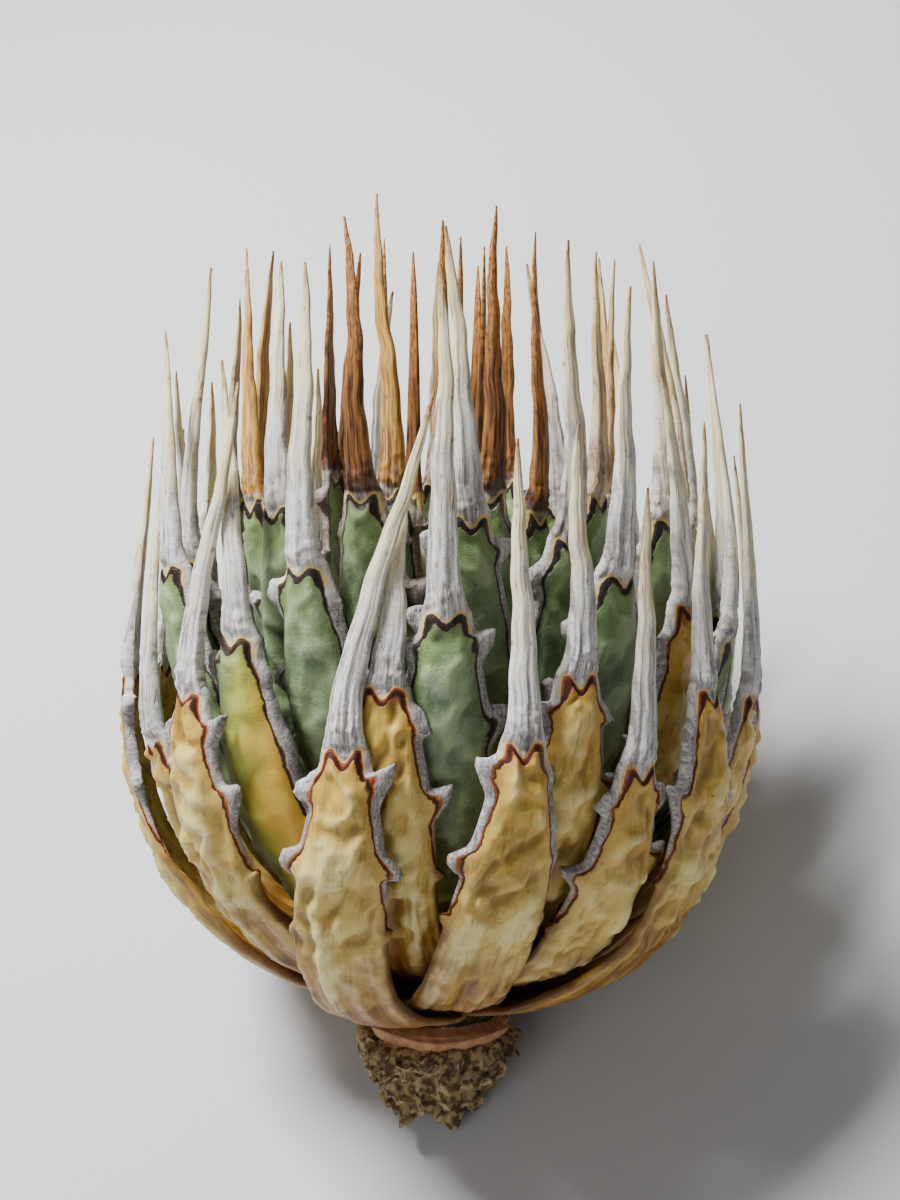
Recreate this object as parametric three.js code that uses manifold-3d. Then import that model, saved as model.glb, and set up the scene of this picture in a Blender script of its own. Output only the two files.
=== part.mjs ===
import * as THREE from 'three';
import Module from 'manifold-3d';

// Utah agave, bare rooted: a globe of stiff leaves on a short root stub, laid down on its back
// so that the bowl and the end of the stub carry it. Millimetres, +Z up, -Y towards the viewer.
// The plant is built upright on its own axis (z = 0 near the end of the stub) and laid down last.

// Driving sizes of the rosette
const LEAVES = 60;             // places on the leaf spiral, oldest and lowest first
const GOLDEN = 137.508;        // turn from one leaf to the next, degrees
const FIRST_TURN = 248;        // turn of the oldest leaf; 0 faces the viewer, + goes to the right
const MISSING = [26, 58];      // places left empty
const BUD_LEAVES = 8;          // youngest leaves, still pressed together round the heart
const DRY_UP_TO = 20;          // older leaves than this have dried to straw
const ALSO_DRY = [25];
const TURNING = [23];          // going yellow

// Driving sizes of one leaf
const HALF_WIDTH = 7;          // widest half of the blade, horny margin included
const EDGE = 0.9;              // thickness of the margin
const FLESH = [2.3, 3.2];      // thickness in the middle, dry and green
const SPINE_BASE = [2.35, 1.8]; // half width of the terminal spine, old and young leaves
const TOOTH = 2.3;             // reach of a marginal tooth

// Driving sizes of the stub
const STUB_TOP = 12.2;         // radius just under the lowest leaves
const STUB_END = 4.2;
const STUB_SIDE = -2.4;        // the tip of the stub is off the axis
const HEART = 49;              // height of the growing point

// How it lies: the bellies of two leaves at the back and the end of the stub touch the surface
const LEAN = 43.50;             // degrees from upright, away from the viewer
const ROLL = 10.66;             // degrees to the side
const TURN = -11.81;            // degrees on the surface, so that the front faces the viewer

const rad = THREE.MathUtils.degToRad;
const clamp = THREE.MathUtils.clamp;

// Repeatable scatter between -1 and 1
function scatter(n, k) {
  const s = Math.sin(n * 127.1 + k * 311.7) * 43758.5453;
  return (s - Math.floor(s)) * 2 - 1;
}

// Straight lines through [x, y] knots
function along(x, knots) {
  if (x <= knots[0][0]) return knots[0][1];
  for (let i = 1; i < knots.length; i++) {
    const [x0, y0] = knots[i - 1];
    const [x1, y1] = knots[i];
    if (x <= x1) return y0 + ((y1 - y0) * (x - x0)) / (x1 - x0);
  }
  return knots[knots.length - 1][1];
}

// What changes up the spiral, against the place n
const TOP_REACH = [[0, 51], [12, 50.5], [20, 49], [28, 47.6], [36, 45], [44, 39.5], [52, 31], [60, 20]];
const TOP_HEIGHT = [[0, 63], [12, 70], [20, 77], [28, 87], [36, 95], [44, 99.5], [52, 102], [60, 103]];
const TIP_HEIGHT = [[0, 106], [12, 112], [20, 120], [28, 130], [36, 136], [44, 140], [52, 144], [60, 147]];
const FOOT_HEIGHT = [[0, 14.6], [60, 47.6]];
const FOOT_REACH = [[0, 10.8], [30, 8], [60, 3.6]];
const BELLY_OUT = [[0, 29.5], [20, 26.5], [40, 18], [60, 8]];
const BELLY_LOW = [[0, 16.6], [20, 29], [40, 42], [60, 55]];
const SIDE_OUT = [[0, 51.3], [12, 50.6], [20, 48.4], [40, 40.5], [60, 19.5]];
const SIDE_LOW = [[0, 34.5], [20, 46], [40, 61.5], [60, 74]];

// Leaves that can be told apart from the front, each measured by itself:
// turn and height of the blade's top, turn and height of the spine's tip, reach of both if unusual.
const SEEN = {
  0: [-112, 64, -110, 111.5],
  2: [-15, 66.5, -1, 116],
  4: [49, 72.5, 54, 112, 51.4],
  5: [-89, 70.5, -94, 110, 51.3],
  7: [13, 67.5, 13, 109.5],
  9: [88, 67, 81, 107],
  10: [-45, 72.5, -37, 117.5, 51.1],
  12: [34, 63, 39, 102.5],
  13: [-104, 71, -112, 104, 49.6],
  14: [119, 72, 115, 121],
  15: [-9, 75, -5, 107, 48.5],
  16: [-151, 73.5, -150, 123],
  17: [68, 70, 68, 115, 50.8, 49.6],
  18: [-61, 64, -63, 102.5, 50.4, 48],
  19: [156, 76, 158, 119],
  20: [23, 76.5, 25, 111.5],
  22: [102, 79, 100, 122],
  23: [-37, 81, -46, 121, 47.4],
  25: [50, 85, 47, 120, 46.6, 44.2],
  28: [1, 85.5, 0, 133.5],
  30: [86, 77, 94, 127],
  31: [-58, 90.5, -67, 126, 46.5, 46],
  32: [168, 91, 172, 131.5],
  33: [33, 90, 40, 131.5, 45.5],
  34: [-106, 92, -95, 121, 44.6, 44.4],
  36: [-25, 91.5, -27, 134.5],
  37: [-163, 95.5, -167, 137.5],
  38: [49.5, 97.5, 53, 136, 42.3],
  39: [-67, 90.5, -60, 135.5, 41.5, 40.4],
  40: [150, 97, 157, 142],
  41: [5.5, 98.5, 1, 139.5],
  42: [-128, 98.5, -129, 143],
  43: [102, 98.5, 116, 143.5],
  44: [-36, 99.5, -39, 135.5],
  46: [30, 95, 32, 138.5],
  47: [-106, 99, -100, 133],
  49: [-19, 101.5, -26, 142],
  50: [-149, 101.5, -152, 143],
  51: [55, 101, 59, 138.5, 28.5, 28],
  52: [-50, 100.5, -62, 139, 36, 34],
  53: [158, 102, 156, 144],
  54: [14.5, 101.5, 18, 144],
  55: [-120, 104, -107, 142, 21, 19.5],
  56: [110, 102, 102, 139.5, 28.5, 29.5],
  57: [-17.5, 102, -25, 146.5],
  59: [41, 98, 53, 142, 22, 18.5],
};

// The place, size and colour of leaf n
function describe(n) {
  const rule = FIRST_TURN - GOLDEN * n;
  const foot = ((rule % 360) + 540) % 360 - 180;
  const seen = SEEN[n] || [
    foot + 3 * scatter(n, 1),
    along(n, TOP_HEIGHT) + 1.5 * scatter(n, 2),
    foot + 4 * scatter(n, 3),
    along(n, TIP_HEIGHT) + 2.5 * scatter(n, 4),
  ];
  const reach = seen[4] || along(n, TOP_REACH);
  const dry = (n <= DRY_UP_TO || ALSO_DRY.includes(n)) && !TURNING.includes(n);
  const kind = dry ? 'dry_leaf' : TURNING.includes(n) ? 'turning_leaf' : 'green_leaf';
  const near = (t) => foot + ((((t - foot) % 360) + 540) % 360 - 180);
  return {
    n,
    foot,
    topTurn: near(seen[0]),
    topHeight: seen[1],
    tipTurn: near(seen[2]),
    tipHeight: seen[3],
    reach,
    tipReach: seen[5] || reach * 0.93 + 0.5,
    kind,
    flesh: FLESH[dry ? 0 : 1] * along(n, [[40, 1], [60, 0.72]]),
    width: (1 + 0.05 * scatter(n, 5)) * along(n, [[0, 1], [36, 1], [60, 0.74]]),
    foothold: along(n, [[0, 9.4], [8, 8.7], [16, 7.2], [40, 4.6], [60, 2.6]]),
    teeth: n < 42 ? 3 : 2,
    spine: along(n, [[0, SPINE_BASE[0]], [40, SPINE_BASE[0]], [60, SPINE_BASE[1]]]),
  };
}

// Line down the middle of a leaf, in the plane through the plant's axis: reach and height
// against the distance from the foot. Older leaves lie wholly outside younger ones.
function meridian(leaf) {
  const n = leaf.n;
  const k = leaf.reach / along(n, TOP_REACH);
  const p = [
    [along(n, FOOT_REACH), along(n, FOOT_HEIGHT)],
    [along(n, BELLY_OUT) * (0.5 + 0.5 * k), along(n, BELLY_LOW)],
    [along(n, SIDE_OUT) * k, along(n, SIDE_LOW)],
    [leaf.reach, along(n, TOP_HEIGHT)],
  ];
  const at = (t) => {
    const a = (1 - t) ** 3;
    const b = 3 * t * (1 - t) ** 2;
    const c = 3 * t * t * (1 - t);
    const d = t ** 3;
    return [0, 1].map((i) => a * p[0][i] + b * p[1][i] + c * p[2][i] + d * p[3][i]);
  };
  const points = [at(0)];
  const run = [0];
  for (let i = 1; i <= 160; i++) {
    const q = at(i * 0.0085);
    const last = points[points.length - 1];
    const step = Math.hypot(q[0] - last[0], q[1] - last[1]);
    if (q[1] >= leaf.topHeight) {
      const f = (leaf.topHeight - last[1]) / (q[1] - last[1]);
      points.push([last[0] + f * (q[0] - last[0]), leaf.topHeight]);
      run.push(run[run.length - 1] + f * step);
      break;
    }
    points.push(q);
    run.push(run[run.length - 1] + step);
  }
  const length = run[run.length - 1];
  const find = (s) => {
    const x = clamp(s, 0, length);
    let i = 1;
    while (i < run.length - 1 && run[i] < x) i++;
    const f = (x - run[i - 1]) / Math.max(run[i] - run[i - 1], 1e-6);
    const [a, b] = [points[i - 1], points[i]];
    const d = Math.hypot(b[0] - a[0], b[1] - a[1]) || 1;
    return {
      reach: a[0] + f * (b[0] - a[0]),
      height: a[1] + f * (b[1] - a[1]),
      up: [(b[0] - a[0]) / d, (b[1] - a[1]) / d],
    };
  };
  return { length, find };
}

const outward = (turn) => new THREE.Vector3(Math.sin(rad(turn)), -Math.cos(rad(turn)), 0);
const sideways = (turn) => new THREE.Vector3(Math.cos(rad(turn)), Math.sin(rad(turn)), 0);

// Eight points round a leaf: [across, off] for each, left edge first and the back next.
// The back swells outwards, the face is hollow and the edges are blunt.
function section(half, left, right, flesh, hollow, edge) {
  return [
    [-half - left, edge / 2],
    [-half * 0.62, flesh * 0.76],
    [0, flesh],
    [half * 0.62, flesh * 0.76],
    [half + right, edge / 2],
    [half + right, -edge / 2],
    [0, hollow],
    [-half - left, -edge / 2],
  ];
}

// Closed skin over rings of eight points, with a flat foot and a pointed tip
function loft(rings, tip) {
  const m = rings[0].length;
  const index = [];
  const points = rings.flat();
  for (let i = 0; i + 1 < rings.length; i++) {
    for (let j = 0; j < m; j++) {
      const a = i * m + j;
      const b = i * m + ((j + 1) % m);
      // The face's diagonals mirror those of the back, so a twisted blade keeps its thickness
      if (j >= 4) index.push(a, b, a + m, b, b + m, a + m);
      else index.push(a, b, b + m, a, b + m, a + m);
    }
  }
  const top = points.length;
  points.push(tip);
  const last = (rings.length - 1) * m;
  for (let j = 0; j < m; j++) index.push(last + j, last + ((j + 1) % m), top);
  for (const [a, b, c] of [[0, 7, 1], [1, 7, 6], [1, 6, 2], [2, 6, 3], [3, 6, 5], [3, 5, 4]]) {
    index.push(a, b, c);
  }
  const geometry = new THREE.BufferGeometry();
  geometry.setAttribute('position', new THREE.Float32BufferAttribute(points.flatMap((p) => p.toArray()), 3));
  geometry.setIndex(index);
  return geometry;
}

// Blade half width against the distance below its top
const BLADE = [[0, 0.42], [4, 0.57], [8, 0.73], [13, 0.87], [18, 0.97], [24, 1.03], [32, 1.06], [42, 1.05]];

function leafBody(leaf) {
  const line = meridian(leaf);
  const rings = [];
  const turnAt = (s) => {
    const f = clamp(s / line.length, 0, 1);
    return leaf.foot + (leaf.topTurn - leaf.foot) * f * f * (3 - 2 * f);
  };
  const ring = (below, left = 0, right = 0, lift = 0) => {
    const s = line.length - below;
    const footward = clamp((below - line.length + 26) / 26, 0, 1);
    const half = HALF_WIDTH * leaf.width * along(below, BLADE) * (1 - footward)
      + leaf.foothold * footward;
    const start = along(below, [[0, 0.8], [10, 0.9], [24, 1], [40, 0.85]]);
    const flesh = Math.max(leaf.flesh * start * (1 - footward) + 0.62 * footward, 0.6);
    const hollow = flesh > 1.6 ? flesh - 1.75 : -0.35;
    const edge = EDGE * (1 - 0.25 * footward);
    const points = section(half, left, right, flesh, hollow, edge).map(([across, off], j) => {
      const raised = j === 0 || j === 4 || j === 5 || j === 7 ? lift : 0;
      const q = line.find(s + raised);
      const grip = Math.max(q.reach, 7);
      const turn = turnAt(s) + THREE.MathUtils.radToDeg(across / grip);
      const reach = q.reach + q.up[1] * off;
      const p = outward(turn).multiplyScalar(reach);
      p.z = q.height - q.up[0] * off;
      return p;
    });
    rings.push(points);
  };

  const lower = [line.length, line.length - 9, line.length - 20];
  const teeth = [];
  const gap = leaf.teeth === 3 ? 11.5 : 10;
  for (let k = 0; k < leaf.teeth; k++) {
    teeth.push(5.5 + gap * k + 1.2 * scatter(leaf.n, 10 + k));
  }
  const lowest = teeth[teeth.length - 1] + 3;
  lower.forEach((b) => ring(b));
  ring((line.length - 20 + lowest) / 2);
  for (let k = leaf.teeth - 1; k >= 0; k--) {
    const [left, right] = [20, 30].map((side) => {
      const size = scatter(leaf.n, side + k);
      return size < -0.6 ? 0.3 : TOOTH * (0.85 + 0.35 * size);
    });
    ring(teeth[k] + 2.4);
    ring(teeth[k] + 0.2, left, right, 0.9);
    ring(teeth[k] - 1.4);
  }
  ring(0);

  // The spine goes on from the top of the blade in a slow double bend
  const top = line.find(line.length);
  const start = outward(leaf.topTurn).multiplyScalar(top.reach + leaf.flesh * 0.3);
  start.z = top.height;
  const tip = outward(leaf.tipTurn).multiplyScalar(leaf.tipReach);
  tip.z = leaf.tipHeight;
  const away = tip.clone().sub(start);
  const size = away.length();
  const leave = outward(leaf.topTurn).multiplyScalar(top.up[0]);
  leave.z = top.up[1];
  const side = sideways(leaf.topTurn);
  const out = outward(leaf.topTurn);
  const sway = 0.9 * scatter(leaf.n, 40);
  const mid = (t) => {
    const c1 = start.clone().addScaledVector(leave, size * 0.3);
    const c2 = tip.clone().addScaledVector(away, -0.3);
    const p = start.clone().multiplyScalar((1 - t) ** 3);
    p.addScaledVector(c1, 3 * t * (1 - t) ** 2);
    p.addScaledVector(c2, 3 * t * t * (1 - t));
    p.addScaledVector(tip, t ** 3);
    return p.addScaledVector(side, sway * Math.sin(2 * Math.PI * t) * (1 - 0.3 * t));
  };
  for (const t of [0.1, 0.32, 0.6, 0.86]) {
    const p = mid(t);
    const half = leaf.spine * along(t, [[0.1, 1], [0.32, 0.76], [0.6, 0.48], [0.86, 0.25]]);
    const thick = half * 1.3;
    const points = section(half, 0, 0, thick * 0.55, -thick * 0.3, thick * 0.35).map(([across, off]) =>
      p.clone().addScaledVector(side, across).addScaledVector(out, off),
    );
    rings.push(points);
  }
  return loft(rings, tip);
}

// Lathed body with uneven radius; rows are [height, radius, bumpiness]
function turned(rows, sides, seed, centre) {
  const points = [];
  const index = [];
  rows.forEach(([z, r, bump], i) => {
    for (let j = 0; j < sides; j++) {
      const a = (2 * Math.PI * j) / sides;
      const q = r * (1 + bump * scatter(j + 31 * i, seed));
      points.push(centre(z) + q * Math.cos(a), q * Math.sin(a), z + bump * 2 * scatter(j + 17 * i, seed + 1));
    }
  });
  for (let i = 0; i + 1 < rows.length; i++) {
    for (let j = 0; j < sides; j++) {
      const a = i * sides + j;
      const b = i * sides + ((j + 1) % sides);
      index.push(a, b, b + sides, a, b + sides, a + sides);
    }
  }
  const low = rows.length * sides;
  points.push(centre(rows[0][0]), 0, rows[0][0]);
  points.push(centre(rows[rows.length - 1][0]), 0, rows[rows.length - 1][0]);
  const last = (rows.length - 1) * sides;
  for (let j = 0; j < sides; j++) {
    index.push(low, (j + 1) % sides, j);
    index.push(low + 1, last + j, last + ((j + 1) % sides));
  }
  const geometry = new THREE.BufferGeometry();
  geometry.setAttribute('position', new THREE.Float32BufferAttribute(points, 3));
  geometry.setIndex(index);
  return geometry;
}

const wasm = await Module();
wasm.setup();

function solid(geometry) {
  return new wasm.Manifold(new wasm.Mesh({
    numProp: 3,
    vertProperties: new Float32Array(geometry.attributes.position.array),
    triVerts: new Uint32Array(geometry.index.array),
  }));
}

function shell(body) {
  const mesh = body.getMesh();
  const geometry = new THREE.BufferGeometry();
  geometry.setAttribute('position', new THREE.Float32BufferAttribute(mesh.vertProperties, 3));
  geometry.setIndex(Array.from(mesh.triVerts));
  return geometry;
}

// The heart: young leaves still pressed into one cone, each with its own spine
function bud() {
  const core = [[50, 1.6, 0], [58, 5.2, 0.03], [70, 8.6, 0.04], [82, 10.4, 0.05], [91, 9.6, 0.06], [96, 5.5, 0.05]];
  let body = solid(turned(core, 12, 61, () => 0));
  for (let i = 0; i < BUD_LEAVES; i++) {
    const n = LEAVES + i;
    const turn = FIRST_TURN - GOLDEN * n;
    const reach = 10.2 - 0.75 * i;
    const size = 103 - 52;
    const rings = [];
    const side = sideways(turn);
    const out = outward(turn);
    for (const f of [0.45, 0.62, 0.78, 0.9, 1]) {
      const half = along(f, [[0.45, 3], [0.7, 3.9], [0.85, 3.1], [1, 1.7]]);
      const p = out.clone().multiplyScalar(reach * along(f, [[0.45, 0.78], [0.75, 1], [1, 0.86]]));
      p.z = 52 + size * f - i * 0.6;
      rings.push(section(half, 0, 0, 1.3, -1.6, 0.9).map(([across, off]) =>
        p.clone().addScaledVector(side, across).addScaledVector(out, off)));
    }
    const tip = out.clone().multiplyScalar(reach * 0.8 + 1.2);
    tip.z = 141 + 3.5 * scatter(n, 50);
    for (const t of [0.15, 0.5, 0.85]) {
      const p = out.clone().multiplyScalar(reach * 0.86).lerp(tip, t);
      p.z = 102 - i * 0.6 + (tip.z - 102) * t;
      const half = along(t, [[0, 1.5], [0.5, 1.05], [0.85, 0.62]]);
      rings.push(section(half, 0, 0, half * 0.8, -half * 0.5, half * 0.5).map(([across, off]) =>
        p.clone().addScaledVector(side, across).addScaledVector(out, off)));
    }
    body = body.add(solid(loft(rings, tip)));
  }
  return shell(body);
}

// Root stub below the leaves and the stem they stand on, in one piece
function stem() {
  const centre = (z) => STUB_SIDE * clamp((13 - z) / 13, 0, 1);
  const rows = [
    [-3, STUB_END * 0.8, 0.06],
    [-1.6, STUB_END, 0.1],
    [1.5, STUB_END * 1.25, 0.12],
    [4.5, STUB_TOP * 0.62, 0.1],
    [7.5, STUB_TOP * 0.8, 0.08],
    [10.2, STUB_TOP * 0.95, 0.05],
    [12.2, STUB_TOP * 0.97, 0.02],
    [13.1, STUB_TOP * 0.76, 0.01],
    [14, 9, 0],
    [24, 7.8, 0],
    [36, 5.9, 0],
    [HEART - 2, 3, 0],
  ];
  return turned(rows, 16, 71, centre);
}

const COLOUR = {
  dry_leaf: [0xd9c27c, 0.7],
  turning_leaf: [0xb9b04e, 0.55],
  green_leaf: [0x6f8a62, 0.6],
  bud: [0x7d8f62, 0.6],
  stem: [0x5b4632, 0.95],
};

const plant = new THREE.Group();
const meshes = [];

function put(name, slot, geometry) {
  const [color, roughness] = COLOUR[slot];
  geometry.computeVertexNormals();
  const mesh = new THREE.Mesh(geometry, new THREE.MeshStandardMaterial({ color, roughness, metalness: 0 }));
  mesh.name = name;
  plant.add(mesh);
  meshes.push(mesh);
}

for (let n = 0; n < LEAVES; n++) {
  if (MISSING.includes(n)) continue;
  const leaf = describe(n);
  put('leaf_' + String(n + 1).padStart(2, '0'), leaf.kind, leafBody(leaf));
}
put('bud', 'bud', bud());
put('stem', 'stem', stem());

// Lay the plant down, set it on the surface and put the middle of its footprint at the origin
const pose = new THREE.Matrix4()
  .makeRotationX(-rad(LEAN))
  .premultiply(new THREE.Matrix4().makeRotationY(rad(ROLL)))
  .premultiply(new THREE.Matrix4().makeRotationZ(rad(TURN)));
const box = new THREE.Box3();
for (const mesh of meshes) {
  mesh.geometry.applyMatrix4(pose);
  mesh.geometry.computeBoundingBox();
  box.union(mesh.geometry.boundingBox);
}
for (const mesh of meshes) {
  mesh.geometry.translate(-(box.min.x + box.max.x) / 2, -(box.min.y + box.max.y) / 2, -box.min.z);
}

export default plant;
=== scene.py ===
# %% [markdown]
# A Utah agave lifted out of the ground: some sixty stiff leaves packed into a globe on a short
# root stub. The oldest leaves have dried to straw, the inner ones are still grey-green, and each
# carries a band of grey horn down both edges that runs on into a long spine. The plant lies on
# its back. Everything here is dressed round the packed model, whose solids give each leaf its place.

# %% Load the packed model
import math

import bpy
import numpy as np
from mathutils import Euler, Matrix, Vector


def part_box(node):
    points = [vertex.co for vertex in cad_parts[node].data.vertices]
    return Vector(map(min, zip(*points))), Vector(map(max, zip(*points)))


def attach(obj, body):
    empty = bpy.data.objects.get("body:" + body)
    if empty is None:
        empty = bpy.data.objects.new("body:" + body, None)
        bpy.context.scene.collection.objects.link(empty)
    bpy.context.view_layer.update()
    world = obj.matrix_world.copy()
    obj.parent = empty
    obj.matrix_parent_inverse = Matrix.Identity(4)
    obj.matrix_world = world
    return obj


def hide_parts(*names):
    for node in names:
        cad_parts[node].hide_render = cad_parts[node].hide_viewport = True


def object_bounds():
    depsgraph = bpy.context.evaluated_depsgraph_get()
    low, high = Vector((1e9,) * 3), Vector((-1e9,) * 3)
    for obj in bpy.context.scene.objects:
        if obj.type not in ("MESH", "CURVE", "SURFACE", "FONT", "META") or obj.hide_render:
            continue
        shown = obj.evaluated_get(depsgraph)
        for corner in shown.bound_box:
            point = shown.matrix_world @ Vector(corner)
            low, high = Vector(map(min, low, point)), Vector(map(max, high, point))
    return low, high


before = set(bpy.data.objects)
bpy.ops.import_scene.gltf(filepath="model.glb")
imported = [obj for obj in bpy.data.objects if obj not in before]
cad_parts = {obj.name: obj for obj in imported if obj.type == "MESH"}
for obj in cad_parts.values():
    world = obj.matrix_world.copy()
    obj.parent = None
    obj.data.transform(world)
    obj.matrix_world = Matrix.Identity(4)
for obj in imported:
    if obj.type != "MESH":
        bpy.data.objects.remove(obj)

CAD_LOW, CAD_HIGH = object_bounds()
print("model box, mm", [round(1000 * x, 1) for x in (*CAD_LOW, *CAD_HIGH)])

# %% [markdown]
# The leaves are easiest to describe on the plant's own axis, upright and in millimetres, as in the
# model's source. One rotation and one shift then lay them down. The rotation is known. The shift
# is found from one vertex that can't be mistaken: the tip of the tallest spine.

# %% The plant's own axis in the frame
MM = 0.001
LEAN = math.radians(43.5)
ROLL = math.radians(10.66)
TURN = math.radians(-11.81)
lay_down = Euler((-LEAN, ROLL, TURN), "XYZ")
LAY = np.array(lay_down.to_matrix())
TALLEST = 57
TALLEST_TIP = (-25.0, 146.5)


def outward(turn):
    """Direction from the axis at a turn in degrees: 0 faces the viewer, + is to the right."""
    a = math.radians(turn)
    return np.array((math.sin(a), -math.cos(a), 0.0))


def sideways(turn):
    """Direction along the globe's side at that turn, to the right of outward."""
    a = math.radians(turn)
    return np.array((math.cos(a), math.sin(a), 0.0))


# %% [markdown]
# A rosette repeats one rule. Each leaf starts 137.5 degrees round from the one before and a little
# higher, and reaches a little less far. The sizes that drive it are here, in millimetres and
# degrees. A pair such as (12, 50.5) says that leaf 12 has the value 50.5.

# %% The rule of the rosette
LEAVES = 60
GOLDEN = 137.508
FIRST_TURN = 248.0
MISSING = (26, 58)
DRY = set(range(21)) | {25}
TURNING = {23}
HALF_WIDTH = 7.0
EDGE = 0.9
FLESH_DRY = 2.3
FLESH_GREEN = 3.2
SPINE_BASE = (2.35, 1.8)
TOOTH = 2.3

TOP_REACH = ((0, 51), (12, 50.5), (20, 49), (28, 47.6), (36, 45), (44, 39.5), (52, 31), (60, 20))
TOP_HEIGHT = ((0, 63), (12, 70), (20, 77), (28, 87), (36, 95), (44, 99.5), (52, 102), (60, 103))
TIP_HEIGHT = ((0, 106), (12, 112), (20, 120), (28, 130), (36, 136), (44, 140), (52, 144), (60, 147))
FOOT_HEIGHT = ((0, 14.6), (60, 47.6))
FOOT_REACH = ((0, 10.8), (30, 8), (60, 3.6))
BELLY_OUT = ((0, 29.5), (20, 26.5), (40, 18), (60, 8))
BELLY_LOW = ((0, 16.6), (20, 29), (40, 42), (60, 55))
SIDE_OUT = ((0, 51.3), (12, 50.6), (20, 48.4), (40, 40.5), (60, 19.5))
SIDE_LOW = ((0, 34.5), (20, 46), (40, 61.5), (60, 74))

print(LEAVES - len(MISSING), "leaves,", len(DRY), "of them dry")

# %% [markdown]
# What can be told apart from the front is set leaf by leaf: the turn and height of the blade's top,
# the turn and height of the spine's tip, and the reach of both where it is unusual.

# %% Leaves that are seen
SEEN = {
    0: (-112, 64, -110, 111.5),
    2: (-15, 66.5, -1, 116),
    4: (49, 72.5, 54, 112, 51.4),
    5: (-89, 70.5, -94, 110, 51.3),
    7: (13, 67.5, 13, 109.5),
    9: (88, 67, 81, 107),
    10: (-45, 72.5, -37, 117.5, 51.1),
    12: (34, 63, 39, 102.5),
    13: (-104, 71, -112, 104, 49.6),
    14: (119, 72, 115, 121),
    15: (-9, 75, -5, 107, 48.5),
    16: (-151, 73.5, -150, 123),
    17: (68, 70, 68, 115, 50.8, 49.6),
    18: (-61, 64, -63, 102.5, 50.4, 48),
    19: (156, 76, 158, 119),
    20: (23, 76.5, 25, 111.5),
    22: (102, 79, 100, 122),
    23: (-37, 81, -46, 121, 47.4),
    25: (50, 85, 47, 120, 46.6, 44.2),
    28: (1, 85.5, 0, 133.5),
    30: (86, 77, 94, 127),
    31: (-58, 90.5, -67, 126, 46.5, 46),
    32: (168, 91, 172, 131.5),
    33: (33, 90, 40, 131.5, 45.5),
    34: (-106, 92, -95, 121, 44.6, 44.4),
    36: (-25, 91.5, -27, 134.5),
    37: (-163, 95.5, -167, 137.5),
    38: (49.5, 97.5, 53, 136, 42.3),
    39: (-67, 90.5, -60, 135.5, 41.5, 40.4),
    40: (150, 97, 157, 142),
    41: (5.5, 98.5, 1, 139.5),
    42: (-128, 98.5, -129, 143),
    43: (102, 98.5, 116, 143.5),
    44: (-36, 99.5, -39, 135.5),
    46: (30, 95, 32, 138.5),
    47: (-106, 99, -100, 133),
    49: (-19, 101.5, -26, 142),
    50: (-149, 101.5, -152, 143),
    51: (55, 101, 59, 138.5, 28.5, 28),
    52: (-50, 100.5, -62, 139, 36, 34),
    53: (158, 102, 156, 144),
    54: (14.5, 101.5, 18, 144),
    55: (-120, 104, -107, 142, 21, 19.5),
    56: (110, 102, 102, 139.5, 28.5, 29.5),
    57: (-17.5, 102, -25, 146.5),
    59: (41, 98, 53, 142, 22, 18.5),
}
print(len(SEEN), "leaves are placed one by one")

# %% [markdown]
# The rest follow the rule with a little scatter, the same on every run. From both comes one
# description of each leaf. The tallest spine's tip then ties the plant's axis to the frame.

# %% Place and size of each leaf
def along(x, knots):
    """Straight lines through (x, y) knots."""
    return np.interp(x, [k[0] for k in knots], [k[1] for k in knots])


def scatter(n, k):
    """Repeatable scatter between -1 and 1."""
    s = math.sin(n * 127.1 + k * 311.7) * 43758.5453
    return (s - math.floor(s)) * 2 - 1


def wrap(angle):
    """The same angle between -180 and 180 degrees."""
    return (angle + 540) % 360 - 180


def describe(n):
    """Place and size of leaf n."""
    foot = wrap(FIRST_TURN - GOLDEN * n)
    seen = SEEN.get(n) or (
        foot + 3 * scatter(n, 1),
        along(n, TOP_HEIGHT) + 1.5 * scatter(n, 2),
        foot + 4 * scatter(n, 3),
        along(n, TIP_HEIGHT) + 2.5 * scatter(n, 4),
    )
    reach = seen[4] if len(seen) > 4 else along(n, TOP_REACH)
    dry = n in DRY
    return {
        "n": n,
        "node": f"leaf_{n + 1:02d}",
        "kind": "dry_leaf" if dry else "turning_leaf" if n in TURNING else "green_leaf",
        "foot": foot,
        "top_turn": foot + wrap(seen[0] - foot),
        "top_height": seen[1],
        "tip_turn": foot + wrap(seen[2] - foot),
        "tip_height": seen[3],
        "reach": reach,
        "tip_reach": seen[5] if len(seen) > 5 else reach * 0.93 + 0.5,
        "flesh": (FLESH_DRY if dry else FLESH_GREEN) * along(n, ((40, 1), (60, 0.72))),
        "width": (1 + 0.05 * scatter(n, 5)) * along(n, ((0, 1), (36, 1), (60, 0.74))),
        "foothold": along(n, ((0, 9.4), (8, 8.7), (16, 7.2), (40, 4.6), (60, 2.6))),
        "teeth": 3 if n < 42 else 2,
        "spine": along(n, ((0, SPINE_BASE[0]), (40, SPINE_BASE[0]), (60, SPINE_BASE[1]))),
    }


rosette = [describe(n) for n in range(LEAVES) if n not in MISSING]
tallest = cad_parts[f"leaf_{TALLEST + 1:02d}"]
tips = np.array([v.co for v in tallest.data.vertices])
tip_in_frame = tips[np.argmax(tips @ LAY[:, 2])]
tallest_leaf = describe(TALLEST)
tip_on_axis = outward(TALLEST_TIP[0]) * tallest_leaf["tip_reach"]
tip_on_axis[2] = TALLEST_TIP[1]
SHIFT = tip_in_frame - LAY @ tip_on_axis * MM


def to_frame(point):
    """A point on the plant's own axis, in mm, to the frame, in metres."""
    return LAY @ np.asarray(point, float) * MM + SHIFT


print(len(rosette), "leaves; foot of the axis in the frame, mm", (SHIFT / MM).round(2))

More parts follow.
